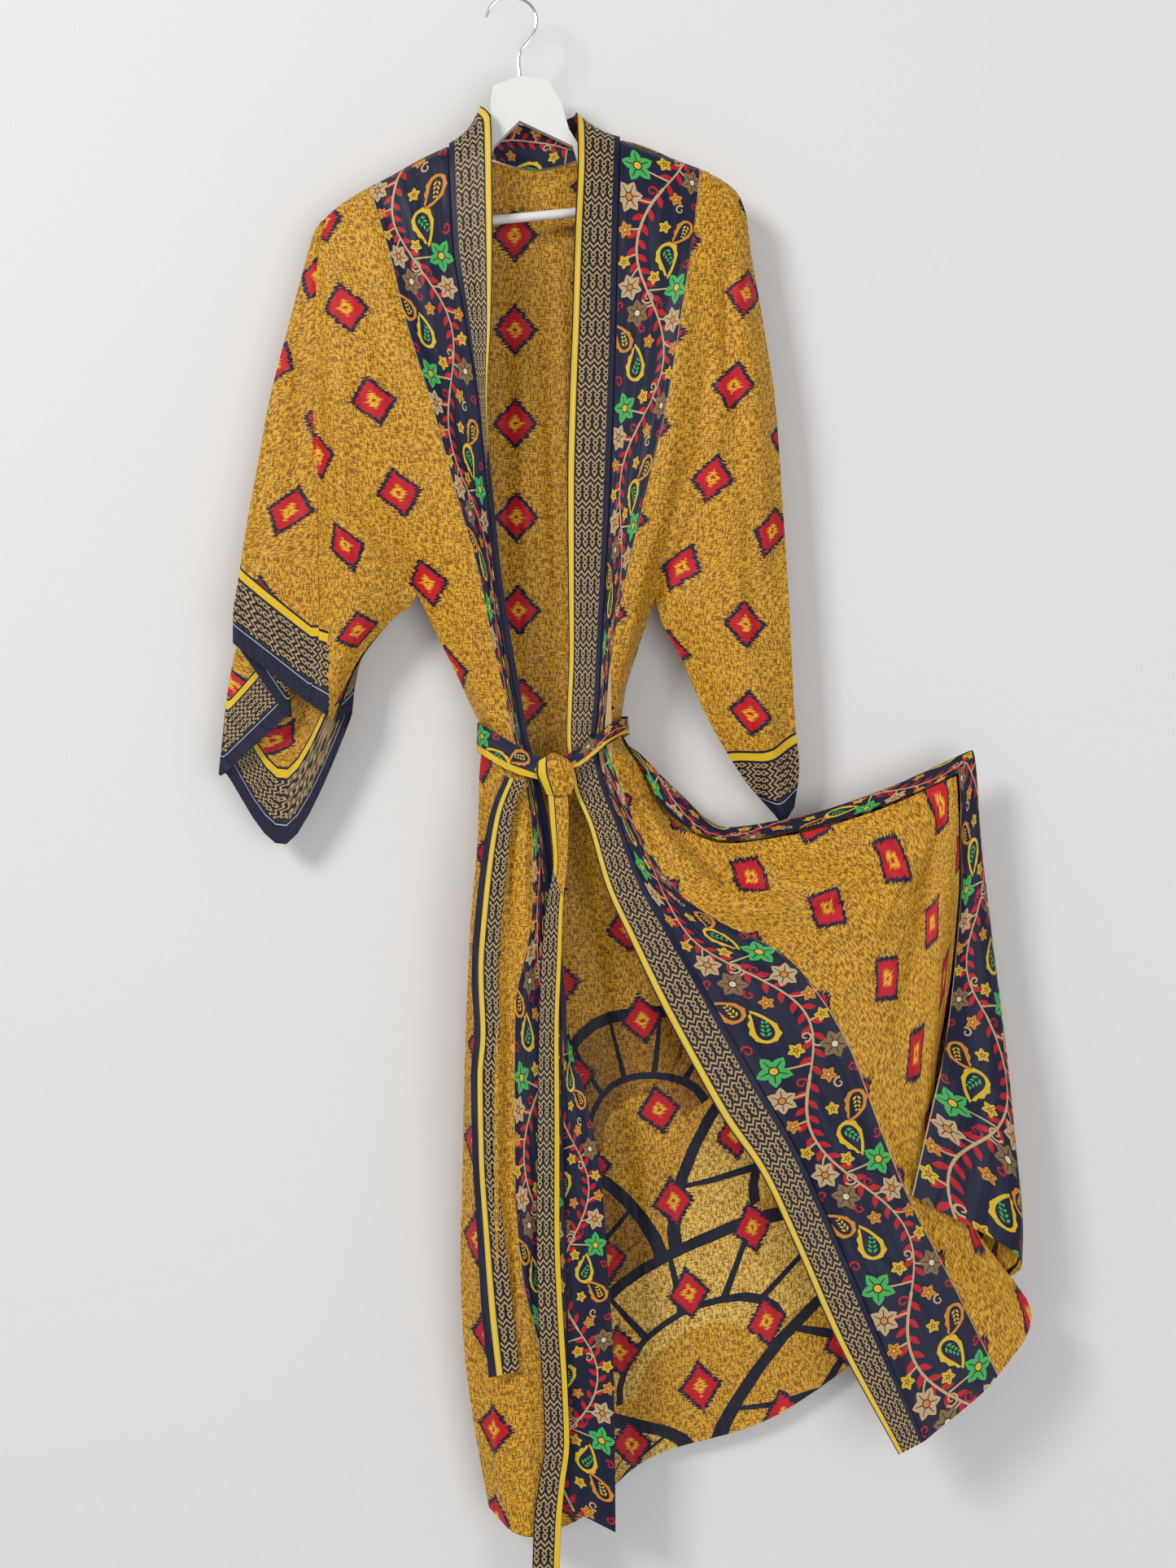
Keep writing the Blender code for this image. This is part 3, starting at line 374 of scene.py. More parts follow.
# Print sizes, in metres.
BORDER_WIDTH = 0.090
BAND_PRINT = 0.8                     # the border's motifs on band and belt, as a share
CREASE_DEPTH = 1.25                  # common factor on every crease
CHAIN_U, CHAIN_V = 0.0086, 0.0245    # chain print: one ring across, one repeat along
PITCH_U, PITCH_V = 0.086, 0.100      # lattice: between columns, and along one
DIAMOND_WIDE, DIAMOND_TALL = 0.0255, 0.0285   # half sizes of a diamond
DIAMOND_EDGES = [(1.0, NAVY), (0.78, RED), (0.34, ORANGE), (0.24, YELLOW), (0.11, RED)]
CUFF_TALL = 0.082                    # cuff print, by distance from the sleeve's hem
CUFF_YELLOW = (0.070, 0.079)
CUFF_CHAIN = (0.024, 0.067)
CUFF_STITCH = (0.0195, 0.0205)
BELT_EDGE = [(0.0, 0.002, NAVY), (0.002, 0.0095, YELLOW), (0.0095, 0.0112, NAVY)]
TILE = 0.25                          # repeat of the border print down the cloth
VINE_LEAF = (0.0150, 0.0062)         # long and wide
VINE_WIDE, STALK_WIDE, CURL_WIDE = 0.0030, 0.0022, 0.0023
EDGE_LINE = (0.0013, 0.0003)         # tan line, by distance from the border's outer edge
FAN_RADIUS, FAN_RIM, FAN_RIB = 0.135, 0.012, 0.007
FAN_HUB = (0.062, 0.069)             # inner ring of a fan, between two radii

# Border repeat, in metres across and down. Flowers: place, radius, petals, colour, heart.
FLOWERS = [
    (0.016, 0.108, 0.0175, 5, GREEN, YELLOW), (0.073, 0.234, 0.0175, 5, GREEN, YELLOW),
    (0.075, 0.106, 0.0150, 6, TAN, ORANGE), (0.064, 0.134, 0.0150, 6, TAN_DARK, PALE),
    (0.015, 0.142, 0.0145, 6, TAN, ORANGE), (0.012, 0.232, 0.0150, 6, TAN_DARK, PALE),
    (0.080, 0.016, 0.0150, 6, TAN, ORANGE), (0.083, 0.046, 0.0085, 5, ORANGE, YELLOW),
    (0.083, 0.078, 0.0080, 5, YELLOW, ORANGE), (0.007, 0.172, 0.0085, 5, ORANGE, YELLOW),
    (0.008, 0.198, 0.0080, 5, YELLOW, ORANGE), (0.046, 0.164, 0.0080, 5, ORANGE, YELLOW),
    (0.046, 0.222, 0.0085, 5, YELLOW, ORANGE), (0.047, 0.096, 0.0080, 5, YELLOW, ORANGE),
    (0.030, 0.008, 0.0085, 5, ORANGE, YELLOW), (0.040, 0.042, 0.0075, 5, YELLOW, ORANGE),
]
# Place, length, turn, side to which the tip leans, rim and fill.
PAISLEYS = [
    (0.034, 0.072, 0.037, 0.6, 1, YELLOW, GREEN), (0.014, 0.044, 0.033, -0.3, 1, ORANGE, YELLOW),
    (0.061, 0.193, 0.037, 2.8, -1, YELLOW, GREEN), (0.079, 0.164, 0.033, 3.4, -1, ORANGE, YELLOW),
]
# Centre, radius, start angle, turns, colour.
CURLS = [
    (0.052, 0.117, 0.0075, 0.4, 1.2, TAN), (0.036, 0.126, 0.0065, 2.4, -1.1, RED),
    (0.086, 0.126, 0.0055, 1.2, -1.0, RED), (0.024, 0.020, 0.0060, 4.2, 1.0, TAN),
    (0.056, 0.006, 0.0060, 3.0, 1.0, RED), (0.032, 0.212, 0.0060, 1.0, 1.1, TAN),
    (0.085, 0.206, 0.0065, 0.0, -1.1, RED), (0.006, 0.012, 0.0055, 2.0, 1.1, RED),
    (0.056, 0.150, 0.0055, 5.0, 1.0, RED), (0.006, 0.082, 0.0055, 0.5, 1.1, RED),
]
# Thin stalks: from, to.
STALKS = [
    (0.066, 0.045, 0.083, 0.046), (0.069, 0.070, 0.083, 0.078), (0.066, 0.085, 0.075, 0.106),
    (0.052, 0.110, 0.016, 0.108), (0.045, 0.125, 0.064, 0.134), (0.036, 0.140, 0.015, 0.142),
    (0.024, 0.165, 0.007, 0.172), (0.022, 0.198, 0.008, 0.198), (0.030, 0.222, 0.012, 0.232),
    (0.040, 0.240, 0.073, 0.234), (0.055, 0.018, 0.080, 0.016),
]


def place(point):
    """Drafting point (across, down, depth mm) to metres."""
    across, down, depth = point
    return ((across - ORIGIN_ACROSS) * UNIT, depth * MM, -(down - ORIGIN_DOWN) * UNIT)


def rows_down(table, steps):
    """Rows resampled by a cubic whose slope is the harmonic mean of its neighbours' steps."""
    data = np.asarray(table, float)
    step = np.diff(data, axis=0)
    both = step[:-1] * step[1:]
    total = step[:-1] + step[1:]
    inner = np.where(both > 0, 2 * both / np.where(total == 0, 1, total), 0)
    slope = np.concatenate([step[:1], inner, step[-1:]])
    where = np.linspace(0, len(data) - 1, (len(data) - 1) * steps + 1)
    cell = np.minimum(where.astype(int), len(data) - 2)
    t = (where - cell)[:, None, None]
    return (data[cell] * (2 * t ** 3 - 3 * t ** 2 + 1) + slope[cell] * (t ** 3 - 2 * t ** 2 + t)
            + data[cell + 1] * (3 * t ** 2 - 2 * t ** 3) + slope[cell + 1] * (t ** 3 - t ** 2))


def cols_across(table, steps):
    """Columns resampled by a Catmull-Rom cubic through every column."""
    data = np.moveaxis(np.asarray(table, float), 1, 0)
    padded = np.concatenate([2 * data[:1] - data[1:2], data, 2 * data[-1:] - data[-2:-1]])
    where = np.linspace(0, len(data) - 1, (len(data) - 1) * steps + 1)
    cell = np.minimum(where.astype(int), len(data) - 2)
    t = (where - cell)[:, None, None]
    a, b, c, d = (padded[cell + k] for k in range(4))
    made = 0.5 * (2 * b + (c - a) * t + (2 * a - 5 * b + 4 * c - d) * t ** 2
                  + (3 * b - a - 3 * c + d) * t ** 3)
    return np.moveaxis(made, 0, 1)


def surface(table, rows=ROWS, cols=COLS):
    """Table of drafting points to a fine grid in metres: cubic down, then cubic across."""
    points = np.array([[place(p) for p in row] for row in table])
    return cols_across(rows_down(points, rows), cols)


def crease(grid, table):
    """Depth gains, for each crease, its depth times a bell of the distance from its line,
    fading along the line as the square root of a half sine."""
    made = grid.copy()
    x = grid[..., 0] / UNIT + ORIGIN_ACROSS
    z = -grid[..., 2] / UNIT + ORIGIN_DOWN
    for x1, z1, x2, z2, width, depth in table:
        long = math.hypot(x2 - x1, z2 - z1)
        t = ((x - x1) * (x2 - x1) + (z - z1) * (z2 - z1)) / long ** 2
        off = ((x - x1) * (z2 - z1) - (z - z1) * (x2 - x1)) / long
        fade = np.sqrt(np.clip(np.sin(np.pi * np.clip(t, 0, 1)), 0, 1))
        made[..., 1] += CREASE_DEPTH * depth * MM * fade * np.exp(-(off / width) ** 2)
    return made


def run(points, axis):
    """Length along an axis of a grid, summed step by step from its start."""
    step = np.linalg.norm(np.diff(points, axis=axis), axis=-1)
    zero = np.zeros_like(step.take([0], axis=axis))
    return np.concatenate([zero, np.cumsum(step, axis=axis)], axis=axis)


def normals(grid):
    """Unit normals of a grid: cross product of its differences across and down."""
    n = np.cross(np.gradient(grid, axis=0), np.gradient(grid, axis=1))
    return n / np.maximum(np.linalg.norm(n, axis=-1, keepdims=True), 1e-12)


# Print motifs. Each returns a list of (polygon, colour) in flat metres, painted in order.
def leaf(x, y, long, wide, angle, colour):
    """Pointed oval: half width is wide times the sine of the way along."""
    t = np.linspace(0, np.pi, 6)
    along = np.concatenate([t, t[-2:0:-1]]) / np.pi * long
    side = np.concatenate([np.sin(t), -np.sin(t[-2:0:-1])]) * wide / 2
    c, s = math.cos(angle), math.sin(angle)
    return [(np.stack([x + along * c - side * s, y + along * s + side * c], 1), colour)]


def disc(x, y, radius, colour):
    """Even eight-sided polygon with its corners on a circle."""
    a = np.arange(8) * 2 * np.pi / 8
    return [(np.stack([x + radius * np.cos(a), y + radius * np.sin(a)], 1), colour)]


def stroke(points, width, colour):
    """Ribbon along a line, one four-cornered piece for each step, tapering to its end."""
    p = np.asarray(points, float)
    d = np.gradient(p, axis=0)
    side = np.stack([-d[:, 1], d[:, 0]], 1) / np.linalg.norm(d, axis=1, keepdims=True)
    half = side * (width / 2 * np.linspace(1, 0.6, len(p)))[:, None]
    return [(np.array([p[i] - half[i], p[i + 1] - half[i + 1], p[i + 1] + half[i + 1],
                       p[i] + half[i]]), colour) for i in range(len(p) - 1)]


def curl(x, y, radius, start, turns, colour):
    """Spiral stroke: the radius shrinks evenly with the angle."""
    t = np.linspace(0, 1, max(6, int(10 * abs(turns))))
    a = start + turns * 2 * np.pi * t
    r = radius * (1 - 0.75 * t)
    return stroke(np.stack([x + r * np.cos(a), y + r * np.sin(a)], 1), CURL_WIDE, colour)


def flower(x, y, radius, count, colour, heart, turn=0.0):
    """Petals at even angles round a heart, each a leaf with a vein along its middle."""
    made = []
    reach = radius * np.array([[0.3], [0.5], [0.75]])
    for k in range(count):
        a = turn + 2 * np.pi * k / count
        made += leaf(x, y, radius, radius * 0.66, a, colour)
        made += stroke((x, y) + reach * (math.cos(a), math.sin(a)), radius * 0.08, NAVY)
    return made + disc(x, y, radius * 0.30, NAVY) + disc(x, y, radius * 0.22, heart)


def drop(x, y, long, angle, flip, colour, scale=1.0, scallop=0.0):
    """Paisley outline: a circle whose upper part narrows and leans over to one side."""
    t = np.linspace(0, 2 * np.pi, 22, endpoint=False)
    up = (1 - np.cos(t)) / 2
    wide = np.sin(t) * (1 - up) ** 0.40 * 0.46 * scale + flip * 0.30 * up ** 3
    tall = (up - 0.5) * (0.55 + 0.45 * scale) + 0.5
    bump = 1 + scallop * np.cos(11 * t)
    px, py = wide * bump * long, (tall - 0.35) * long
    c, s = math.cos(angle), math.sin(angle)
    return [(np.stack([x + px * c - py * s, y + px * s + py * c], 1), colour)]


def paisley(x, y, long, angle, flip, rim, fill):
    """A scalloped drop with a navy one inside it, and pairs of small leaves up its middle."""
    made = drop(x, y, long, angle, flip, rim, 1.0, 0.07) + drop(x, y, long, angle, flip, NAVY, 0.62)
    c, s = math.cos(angle), math.sin(angle)
    for k in range(4):
        for side in (-1, 1):
            a = 0.04 + 0.13 * k
            ox, oy = (a - 0.18) * long, side * 0.015 * long
            bx, by = x - ox * s + oy * c, y + ox * c + oy * s
            made += leaf(bx, by, long * (0.17 - 0.025 * k), long * 0.07,
                         angle + np.pi / 2 - side * 0.75, fill)
    return made


def border_tile(v, mirror=False):
    """One repeat of the generic vine border, v being its top; mirrored for the other side.
    The vine is a sine down the cloth, with a leaf on each side in turn and flowers in its
    hollows. A stalk is a quadratic curve through a point set off from its middle."""
    w = BORDER_WIDTH
    t = np.linspace(0, 1, 33)
    vine = np.stack([w * (0.5 + 0.27 * np.sin(2 * np.pi * t)), v + t * TILE], 1)
    made = []
    for k in range(1, 32):
        lean = math.atan2(*(vine[k + 1] - vine[k - 1])[::-1])
        side = 1 if k % 2 else -1
        made += leaf(*vine[k], *VINE_LEAF, lean + side * 0.85, RED)
    for x, y, to_x, to_y in STALKS:
        s = np.linspace(0, 1, 5)[:, None]
        a, b, c = np.array([(x, y), ((x + to_x) / 2 + 0.006, (y + to_y) / 2), (to_x, to_y)]) + (0, v)
        made += stroke(a * (1 - s) ** 2 + b * 2 * s * (1 - s) + c * s ** 2, STALK_WIDE, TAN)
    made += stroke(vine, VINE_WIDE, TAN)
    for x, y, radius, start, turns, colour in CURLS:
        made += curl(x, v + y, radius, start, turns, colour)
    for x, y, long, angle, flip, rim, fill in PAISLEYS:
        made += paisley(x, v + y, long, angle, flip, rim, fill)
    for x, y, radius, count, colour, heart in FLOWERS:
        made += flower(x, v + y, radius, count, colour, heart, 40 * x + 9 * y)
    if mirror:
        made = [(np.stack([w - p[:, 0], p[:, 1]], 1), colour) for p, colour in made]
    low, high = w - EDGE_LINE[0], w - EDGE_LINE[1]
    return made + [(np.array([(low, v), (high, v), (high, v + TILE), (low, v + TILE)]), TAN)]


def half_ring(x, y, inner, outer, colour, parts=12):
    """Upper half of a ring between two radii, cut into short four-cornered pieces."""
    a = np.linspace(np.pi, 2 * np.pi, parts + 1)
    low = np.stack([x + inner * np.cos(a), y + inner * np.sin(a)], 1)
    high = np.stack([x + outer * np.cos(a), y + outer * np.sin(a)], 1)
    return [(np.array([low[i], high[i], high[i + 1], low[i + 1]]), colour) for i in range(parts)]


def fans(wide, top, bottom):
    """Generic large print: rows of half-round fans with five ribs each, every row set half a
    fan along from the last. Each fan is lighter, darker or left plain in turn."""
    made = []
    row, y = 0, top + FAN_RADIUS
    while y < bottom + FAN_RADIUS:
        x = (row % 2 - 1) * FAN_RADIUS
        while x < wide + FAN_RADIUS:
            shade = (OCHRE_LIGHT, OCHRE_DARK, None)[(row + int(round(x / FAN_RADIUS))) % 3]
            if shade:
                made += half_ring(x, y, 0.045, FAN_RADIUS - 0.01, shade)
            made += half_ring(x, y, FAN_RADIUS - FAN_RIM, FAN_RADIUS, NAVY, 16)
            made += half_ring(x, y, *FAN_HUB, NAVY)
            for k in range(1, 6):
                along = np.array([math.cos(np.pi * (1 + k / 6)), math.sin(np.pi * (1 + k / 6))])
                ends = [(x, y) + along * r for r in (0.066, FAN_RADIUS - FAN_RIM / 2)]
                made += stroke([ends[0], np.mean(ends, axis=0), ends[1]], FAN_RIB, NAVY)
            x += 2 * FAN_RADIUS
        row += 1
        y += FAN_RADIUS * 0.92
    return made


def inside(points, wide, top, bottom):
    """Whether a polygon's box meets the zone from 0 to wide and from top to bottom."""
    return (points[:, 0].max() > 0 and points[:, 0].min() < wide
            and points[:, 1].max() > top and points[:, 1].min() < bottom)


def turned(points):
    """The polygon going round anticlockwise: its shoelace sum is positive."""
    x, y = points.T
    return points if np.sum(x * np.roll(y, -1) - np.roll(x, -1) * y) > 0 else points[::-1]


class Sheet:
    """Gathers the grids and inlaid zones of one cloth piece into a single mesh."""

    def __init__(self, name, grid=None, uv=None, diamond=None):
        """diamond is a drafting point (across, down) that one diamond of the lattice sits on."""
        self.name = name
        self.shift = np.zeros(2)
        if diamond:
            gap = grid[..., [0, 2]] - np.array(place((*diamond, 0)))[[0, 2]]
            near = uv.reshape(-1, 2)[np.argmin(np.sum(gap ** 2, axis=-1))]
            self.shift = (10.5 * PITCH_U, 10.5 * PITCH_V) - near
        self.points, self.normals, self.uv, self.cuff = [], [], [], []
        self.faces, self.colours, self.mats = [], [], []
        self.count = 0

    def add(self, points, normal, uv, cuff, faces, colours, mat):
        """Appends points with their values, and faces counted on from the points before."""
        self.points.append(points)
        self.normals.append(normal)
        self.uv.append(uv)
        self.cuff.append(cuff)
        self.faces += [tuple(i + self.count for i in f) for f in faces]
        self.colours += colours
        self.mats += [mat] * len(faces)
        self.count += len(points)

    def grid(self, grid, uv, cuff, keep=None, mat=PRINT_SLOT, colour=OCHRE):
        """A whole grid of cells, less those that an inlaid zone takes over."""
        rows, cols = grid.shape[:2]
        r, c = np.mgrid[0:rows - 1, 0:cols - 1]
        r, c = r.ravel(), c.ravel()
        if keep is not None:
            chosen = keep[r, c]
            r, c = r[chosen], c[chosen]
        first = r * cols + c
        faces = np.stack([first, first + cols, first + cols + 1, first + 1], 1).tolist()
        self.add(grid.reshape(-1, 3), normals(grid).reshape(-1, 3), uv.reshape(-1, 2),
                 cuff.ravel(), faces, [colour] * len(faces), mat)

    def inlay(self, grid, uv, cuff, span, wide, motifs, base, mat):
        """Cells of span (row 1, row 2, col 1, col 2) cut along the motifs' outlines: the motifs
        are placed in (share of the width, length down the cloth) and mapped on to the grid by
        bilinear interpolation between its points."""
        r1, r2, c1, c2 = span
        part, all_n = grid[r1:r2 + 1, c1:c2 + 1], normals(grid)[r1:r2 + 1, c1:c2 + 1]
        part_uv, part_cuff = uv[r1:r2 + 1, c1:c2 + 1], cuff[r1:r2 + 1, c1:c2 + 1]
        rows, cols = part.shape[:2]
        down = part_uv[:, cols // 2, 1]
        s, t = np.meshgrid(np.linspace(0, wide, cols), down)
        flat = np.stack([s, t], -1)
        verts = [Vector(p) for p in flat.reshape(-1, 2)]
        ring = (list(range(cols)) + [r * cols + cols - 1 for r in range(1, rows)]
                + [(rows - 1) * cols + c for c in range(cols - 2, -1, -1)]
                + [r * cols for r in range(rows - 2, 0, -1)])
        faces, shades = [ring], [None]
        for polygon, colour in motifs:
            if inside(polygon, wide, down[0], down[-1]):
                faces.append(list(range(len(verts), len(verts) + len(polygon))))
                verts += [Vector(p) for p in turned(polygon)]
                shades.append(colour)
        out, _, tris, _, _, parents = delaunay_2d_cdt(verts, [], faces, 0, 1e-7, True)
        q = np.array([tuple(p) for p in out])
        keep = [i for i, owner in enumerate(parents) if 0 in owner]
        painted_last = [max(parents[i]) for i in keep]
        row = np.clip(np.interp(q[:, 1], down, np.arange(rows)), 0, rows - 1.0001)
        col = np.clip(q[:, 0] / wide * (cols - 1), 0, cols - 1.0001)
        i, j = row.astype(int), col.astype(int)
        a, b = (row - i)[:, None], (col - j)[:, None]

        def at(values):
            return ((values[i, j] * (1 - a) + values[i + 1, j] * a) * (1 - b)
                    + (values[i, j + 1] * (1 - a) + values[i + 1, j + 1] * a) * b)
        colours = [shades[k] or base for k in painted_last]
        tri = [tuple(reversed(tris[k])) for k in keep]
        self.add(at(part), at(all_n), at(part_uv), at(part_cuff[..., None])[:, 0], tri, colours, mat)

    def build(self, materials):
        """The object: points, faces and materials, with the flat map, the cuff distance, the
        print's colours and the surface's own normals."""
        mesh = bpy.data.meshes.new(self.name)
        points = np.concatenate(self.points)
        mesh.from_pydata(points.tolist(), [], self.faces)
        uv = np.concatenate(self.uv) + self.shift
        loops = np.empty(len(mesh.loops), np.int32)
        mesh.loops.foreach_get("vertex_index", loops)
        layer = mesh.uv_layers.new(name="flat")
        layer.data.foreach_set("uv", uv[loops].astype(np.float32).ravel())
        cuff = mesh.attributes.new("cuff", "FLOAT", "POINT")
        cuff.data.foreach_set("value", np.concatenate(self.cuff).astype(np.float32))
        shade = mesh.attributes.new("print_colour", "FLOAT_COLOR", "CORNER")
        sizes = np.empty(len(mesh.polygons), np.int32)
        mesh.polygons.foreach_get("loop_total", sizes)
        rgb = np.repeat(np.array([(*c, 1.0) for c in self.colours]), sizes, axis=0)
        shade.data.foreach_set("color", rgb.astype(np.float32).ravel())
        for material in materials:
            mesh.materials.append(material)
        mesh.polygons.foreach_set("material_index", np.array(self.mats, np.int32))
        mesh.polygons.foreach_set("use_smooth", np.ones(len(mesh.polygons), bool))
        n = np.concatenate(self.normals)
        mesh.normals_split_custom_set_from_vertices(n.tolist())
        piece = bpy.data.objects.new(self.name, mesh)
        bpy.context.scene.collection.objects.link(piece)
        return piece


# Materials
class Value:
    """What a material works out at each place: + - * / and < join it to others as math nodes."""

    def __init__(self, tree, socket):
        """tree is the material's node tree, socket the output that holds the value."""
        self.tree, self.socket = tree, socket

    def calc(self, kind, *others):
        """The math node of a kind over this value and the others."""
        node = self.tree.nodes.new("ShaderNodeMath")
        node.operation = kind
        for socket, value in zip(node.inputs, (self, *others)):
            plug(self.tree, socket, value)
        return Value(self.tree, node.outputs[0])

    def __add__(self, other):
        return self.calc("ADD", other)

    def __sub__(self, other):
        return self.calc("SUBTRACT", other)

    def __mul__(self, other):
        return self.calc("MULTIPLY", other)

    def __truediv__(self, other):
        return self.calc("DIVIDE", other)

    def __lt__(self, other):
        return self.calc("LESS_THAN", other)

    def __abs__(self):
        return self.calc("ABSOLUTE")


def plug(tree, socket, value):
    """Feeds a socket with a Value, a colour of three numbers or one number."""
    if isinstance(value, Value):
        tree.links.new(value.socket, socket)
    elif isinstance(value, tuple):
        socket.default_value = (*value, 1.0)
    else:
        socket.default_value = value


def fract(value):
    """The value less the whole number below it."""
    return value.calc("FRACT")


def rest(value):
    """One less the value."""
    return value * -1.0 + 1.0


def mix(tree, factor, a, b, blend="MIX"):
    """Colour a with b laid over it by a factor of 0 to 1."""
    node = tree.nodes.new("ShaderNodeMix")
    node.data_type = "RGBA"
    node.blend_type = blend
    for index, value in ((0, factor), (6, a), (7, b)):
        plug(tree, node.inputs[index], value)
    return Value(tree, node.outputs[2])


def stored(tree, name, output):
    """An output of the node that reads a value stored in the mesh."""
    node = tree.nodes.new("ShaderNodeAttribute")
    node.attribute_name = name
    return Value(tree, node.outputs[output])


def noise(u, v, scale_u, scale_v, detail=1.0):
    """Noise of 0 to 1 over the flat cloth, with its own scale along each axis."""
    tree = u.tree
    join, node = tree.nodes.new("ShaderNodeCombineXYZ"), tree.nodes.new("ShaderNodeTexNoise")
    plug(tree, join.inputs[0], u * scale_u)
    plug(tree, join.inputs[1], v * scale_v)
    node.inputs["Scale"].default_value = 1.0
    node.inputs["Detail"].default_value = detail
    tree.links.new(join.outputs[0], node.inputs["Vector"])
    return Value(tree, node.outputs["Fac"])


def step(value, edge, soft):
    """0 below the edge, 1 above it, over a soft width."""
    return ((value - edge) / soft).calc("MAXIMUM", 0.0).calc("MINIMUM", 1.0)


def between(value, low, high, soft=0.0004):
    """1 between low and high and 0 outside, with each edge over a soft width."""
    return step(value, low, soft) * rest(step(value, high, soft))


def ochre_colour(u, v):
    """The cell's own shade, clouded, with dark slub dashes that run both ways along the weave."""
    cloudy = step(noise(u, v, 30, 14, 3.0), 0.30, 0.45)
    ground = mix(u.tree, cloudy * 0.25, stored(u.tree, "print_colour", "Color"), CLOUD_SHADE, "MULTIPLY")
    along = step(noise(u, v, 680, 150, 0.5), 0.50, 0.09)
    over = step(noise(u, v, 165, 680, 0.5), 0.54, 0.09)
    return mix(u.tree, along.calc("MAXIMUM", over) * 0.92, ground, SLUB_SHADE, "MULTIPLY")


def chain_colour(u, v):
    """Tan on near-black: chevrons for half a repeat, then rings. A chevron is a wave of the
    length plus a tent across, and a ring lies between two distances from its middle."""
    phase, row = fract(u / CHAIN_U), fract(v / CHAIN_V)
    chevron = fract(row * 4.0 + abs(phase - 0.5) * 1.6) < 0.40
    x = (phase - 0.5) * CHAIN_U
    y = (fract(row * 4.0) - 0.5) * (CHAIN_V / 4)
    far = (x * x + y * y).calc("SQRT")
    ring = between(far, CHAIN_U * 0.17, CHAIN_U * 0.32, 0.0003)
    first = row < 0.5
    return mix(u.tree, first * chevron + rest(first) * ring, CHAIN_DARK, CHAIN_TAN)


def striped(colour, at, stripes):
    """Lays flat stripes (low, high, colour) over a colour by a distance across the cloth."""
    for low, high, shade in stripes:
        colour = mix(at.tree, between(at, low, high), colour, shade)
    return colour


def lattice(colour, u, v):
    """Half-drop lattice of feathered diamonds: each is where |du| / half width + |dv| / half
    height, made ragged by noise, is under its edge."""
    odd = (u / PITCH_U).calc("FLOOR").calc("FLOORED_MODULO", 2.0) * 0.5
    du, dv = fract(u / PITCH_U) - 0.5, fract(v / PITCH_V + odd) - 0.5
    teeth = (noise(u, v, 40, 620) - 0.5) * 0.62
    reach = abs(du) * (PITCH_U / DIAMOND_WIDE) + abs(dv) * (PITCH_V / DIAMOND_TALL) + teeth
    for edge, shade in DIAMOND_EDGES:
        colour = mix(u.tree, reach < edge, colour, shade)
    return colour


def cuff_print(colour, u, d):
    """The sleeve's hem by the distance d from its edge: navy, chain print and a yellow line."""
    colour = mix(u.tree, d < CUFF_TALL, colour, NAVY)
    colour = mix(u.tree, between(d, *CUFF_YELLOW), colour, YELLOW)
    colour = mix(u.tree, between(d, *CUFF_CHAIN), colour, chain_colour(d, u))
    return mix(u.tree, between(d, *CUFF_STITCH, 0.0002), colour, STITCH_GREY)


def new_material(name, rough, sheen=0.06):
    """A material of a given roughness and sheen: the material, its tree and its shader."""
    material = bpy.data.materials.new(name)
    material.use_nodes = True
    shader = material.node_tree.nodes["Principled BSDF"]
    for socket, value in (("Roughness", rough), ("Sheen Weight", sheen), ("Specular IOR Level", 0.28)):
        shader.inputs[socket].default_value = value
    return material, material.node_tree, shader


def make_cloth(name, colour_at, rough=0.5):
    """Printed crepe: colour_at gives the colour at (u, v) of the flat cloth, and two bumps
    give soft ripples that run down the cloth with its fine grain on top."""
    material, tree, shader = new_material(name, rough)
    uv, split = tree.nodes.new("ShaderNodeUVMap"), tree.nodes.new("ShaderNodeSeparateXYZ")
    uv.uv_map = "flat"
    tree.links.new(uv.outputs[0], split.inputs[0])
    u, v = (Value(tree, split.outputs[k]) for k in (0, 1))
    plug(tree, shader.inputs["Base Color"], colour_at(u, v))
    last = None
    ripples, grain = noise(u, v, 34, 7, 2.0), noise(u, v, 700, 700)
    for height, strength, depth in ((ripples, 0.55, 0.011), (grain, 0.12, 0.0004)):
        bump = tree.nodes.new("ShaderNodeBump")
        bump.inputs["Strength"].default_value = strength
        bump.inputs["Distance"].default_value = depth
        plug(tree, bump.inputs["Height"], height)
        if last:
            tree.links.new(last, bump.inputs["Normal"])
        last = bump.outputs[0]
    tree.links.new(last, shader.inputs["Normal"])
    return material


def ground_print(u, v):
    """Gold cloth with the lattice, and the cuff's print near a sleeve's hem."""
    return cuff_print(lattice(ochre_colour(u, v), u, v), u, stored(u.tree, "cuff", "Fac"))


def motif_print(u, v):
    """The flat colours held by the mesh, darkened a little by a faint weave."""
    shade = stored(u.tree, "print_colour", "Color")
    thread = mix(u.tree, noise(u, v, 420, 700) * 0.5, shade, NAVY)
    return mix(u.tree, 0.35, shade, thread)


def belt_end_print(u, v):
    """Gold cloth with a yellow line between two navy ones along its left edge."""
    return striped(ochre_colour(u, v), u, BELT_EDGE)


def strip_print(chain, stripes, gold_to=0.0):
    """Band or belt cloth: navy, chain print between two distances across, stripes over both,
    and gold cloth above a slanting line where gold_to is given."""
    def colour_at(u, v):
        colour = striped(mix(u.tree, between(u, *chain), NAVY, chain_colour(u, v)), u, stripes)
        if not gold_to:
            return colour
        return mix(u.tree, v - u * 1.1 < gold_to, colour, belt_end_print(u, v))
    return colour_at


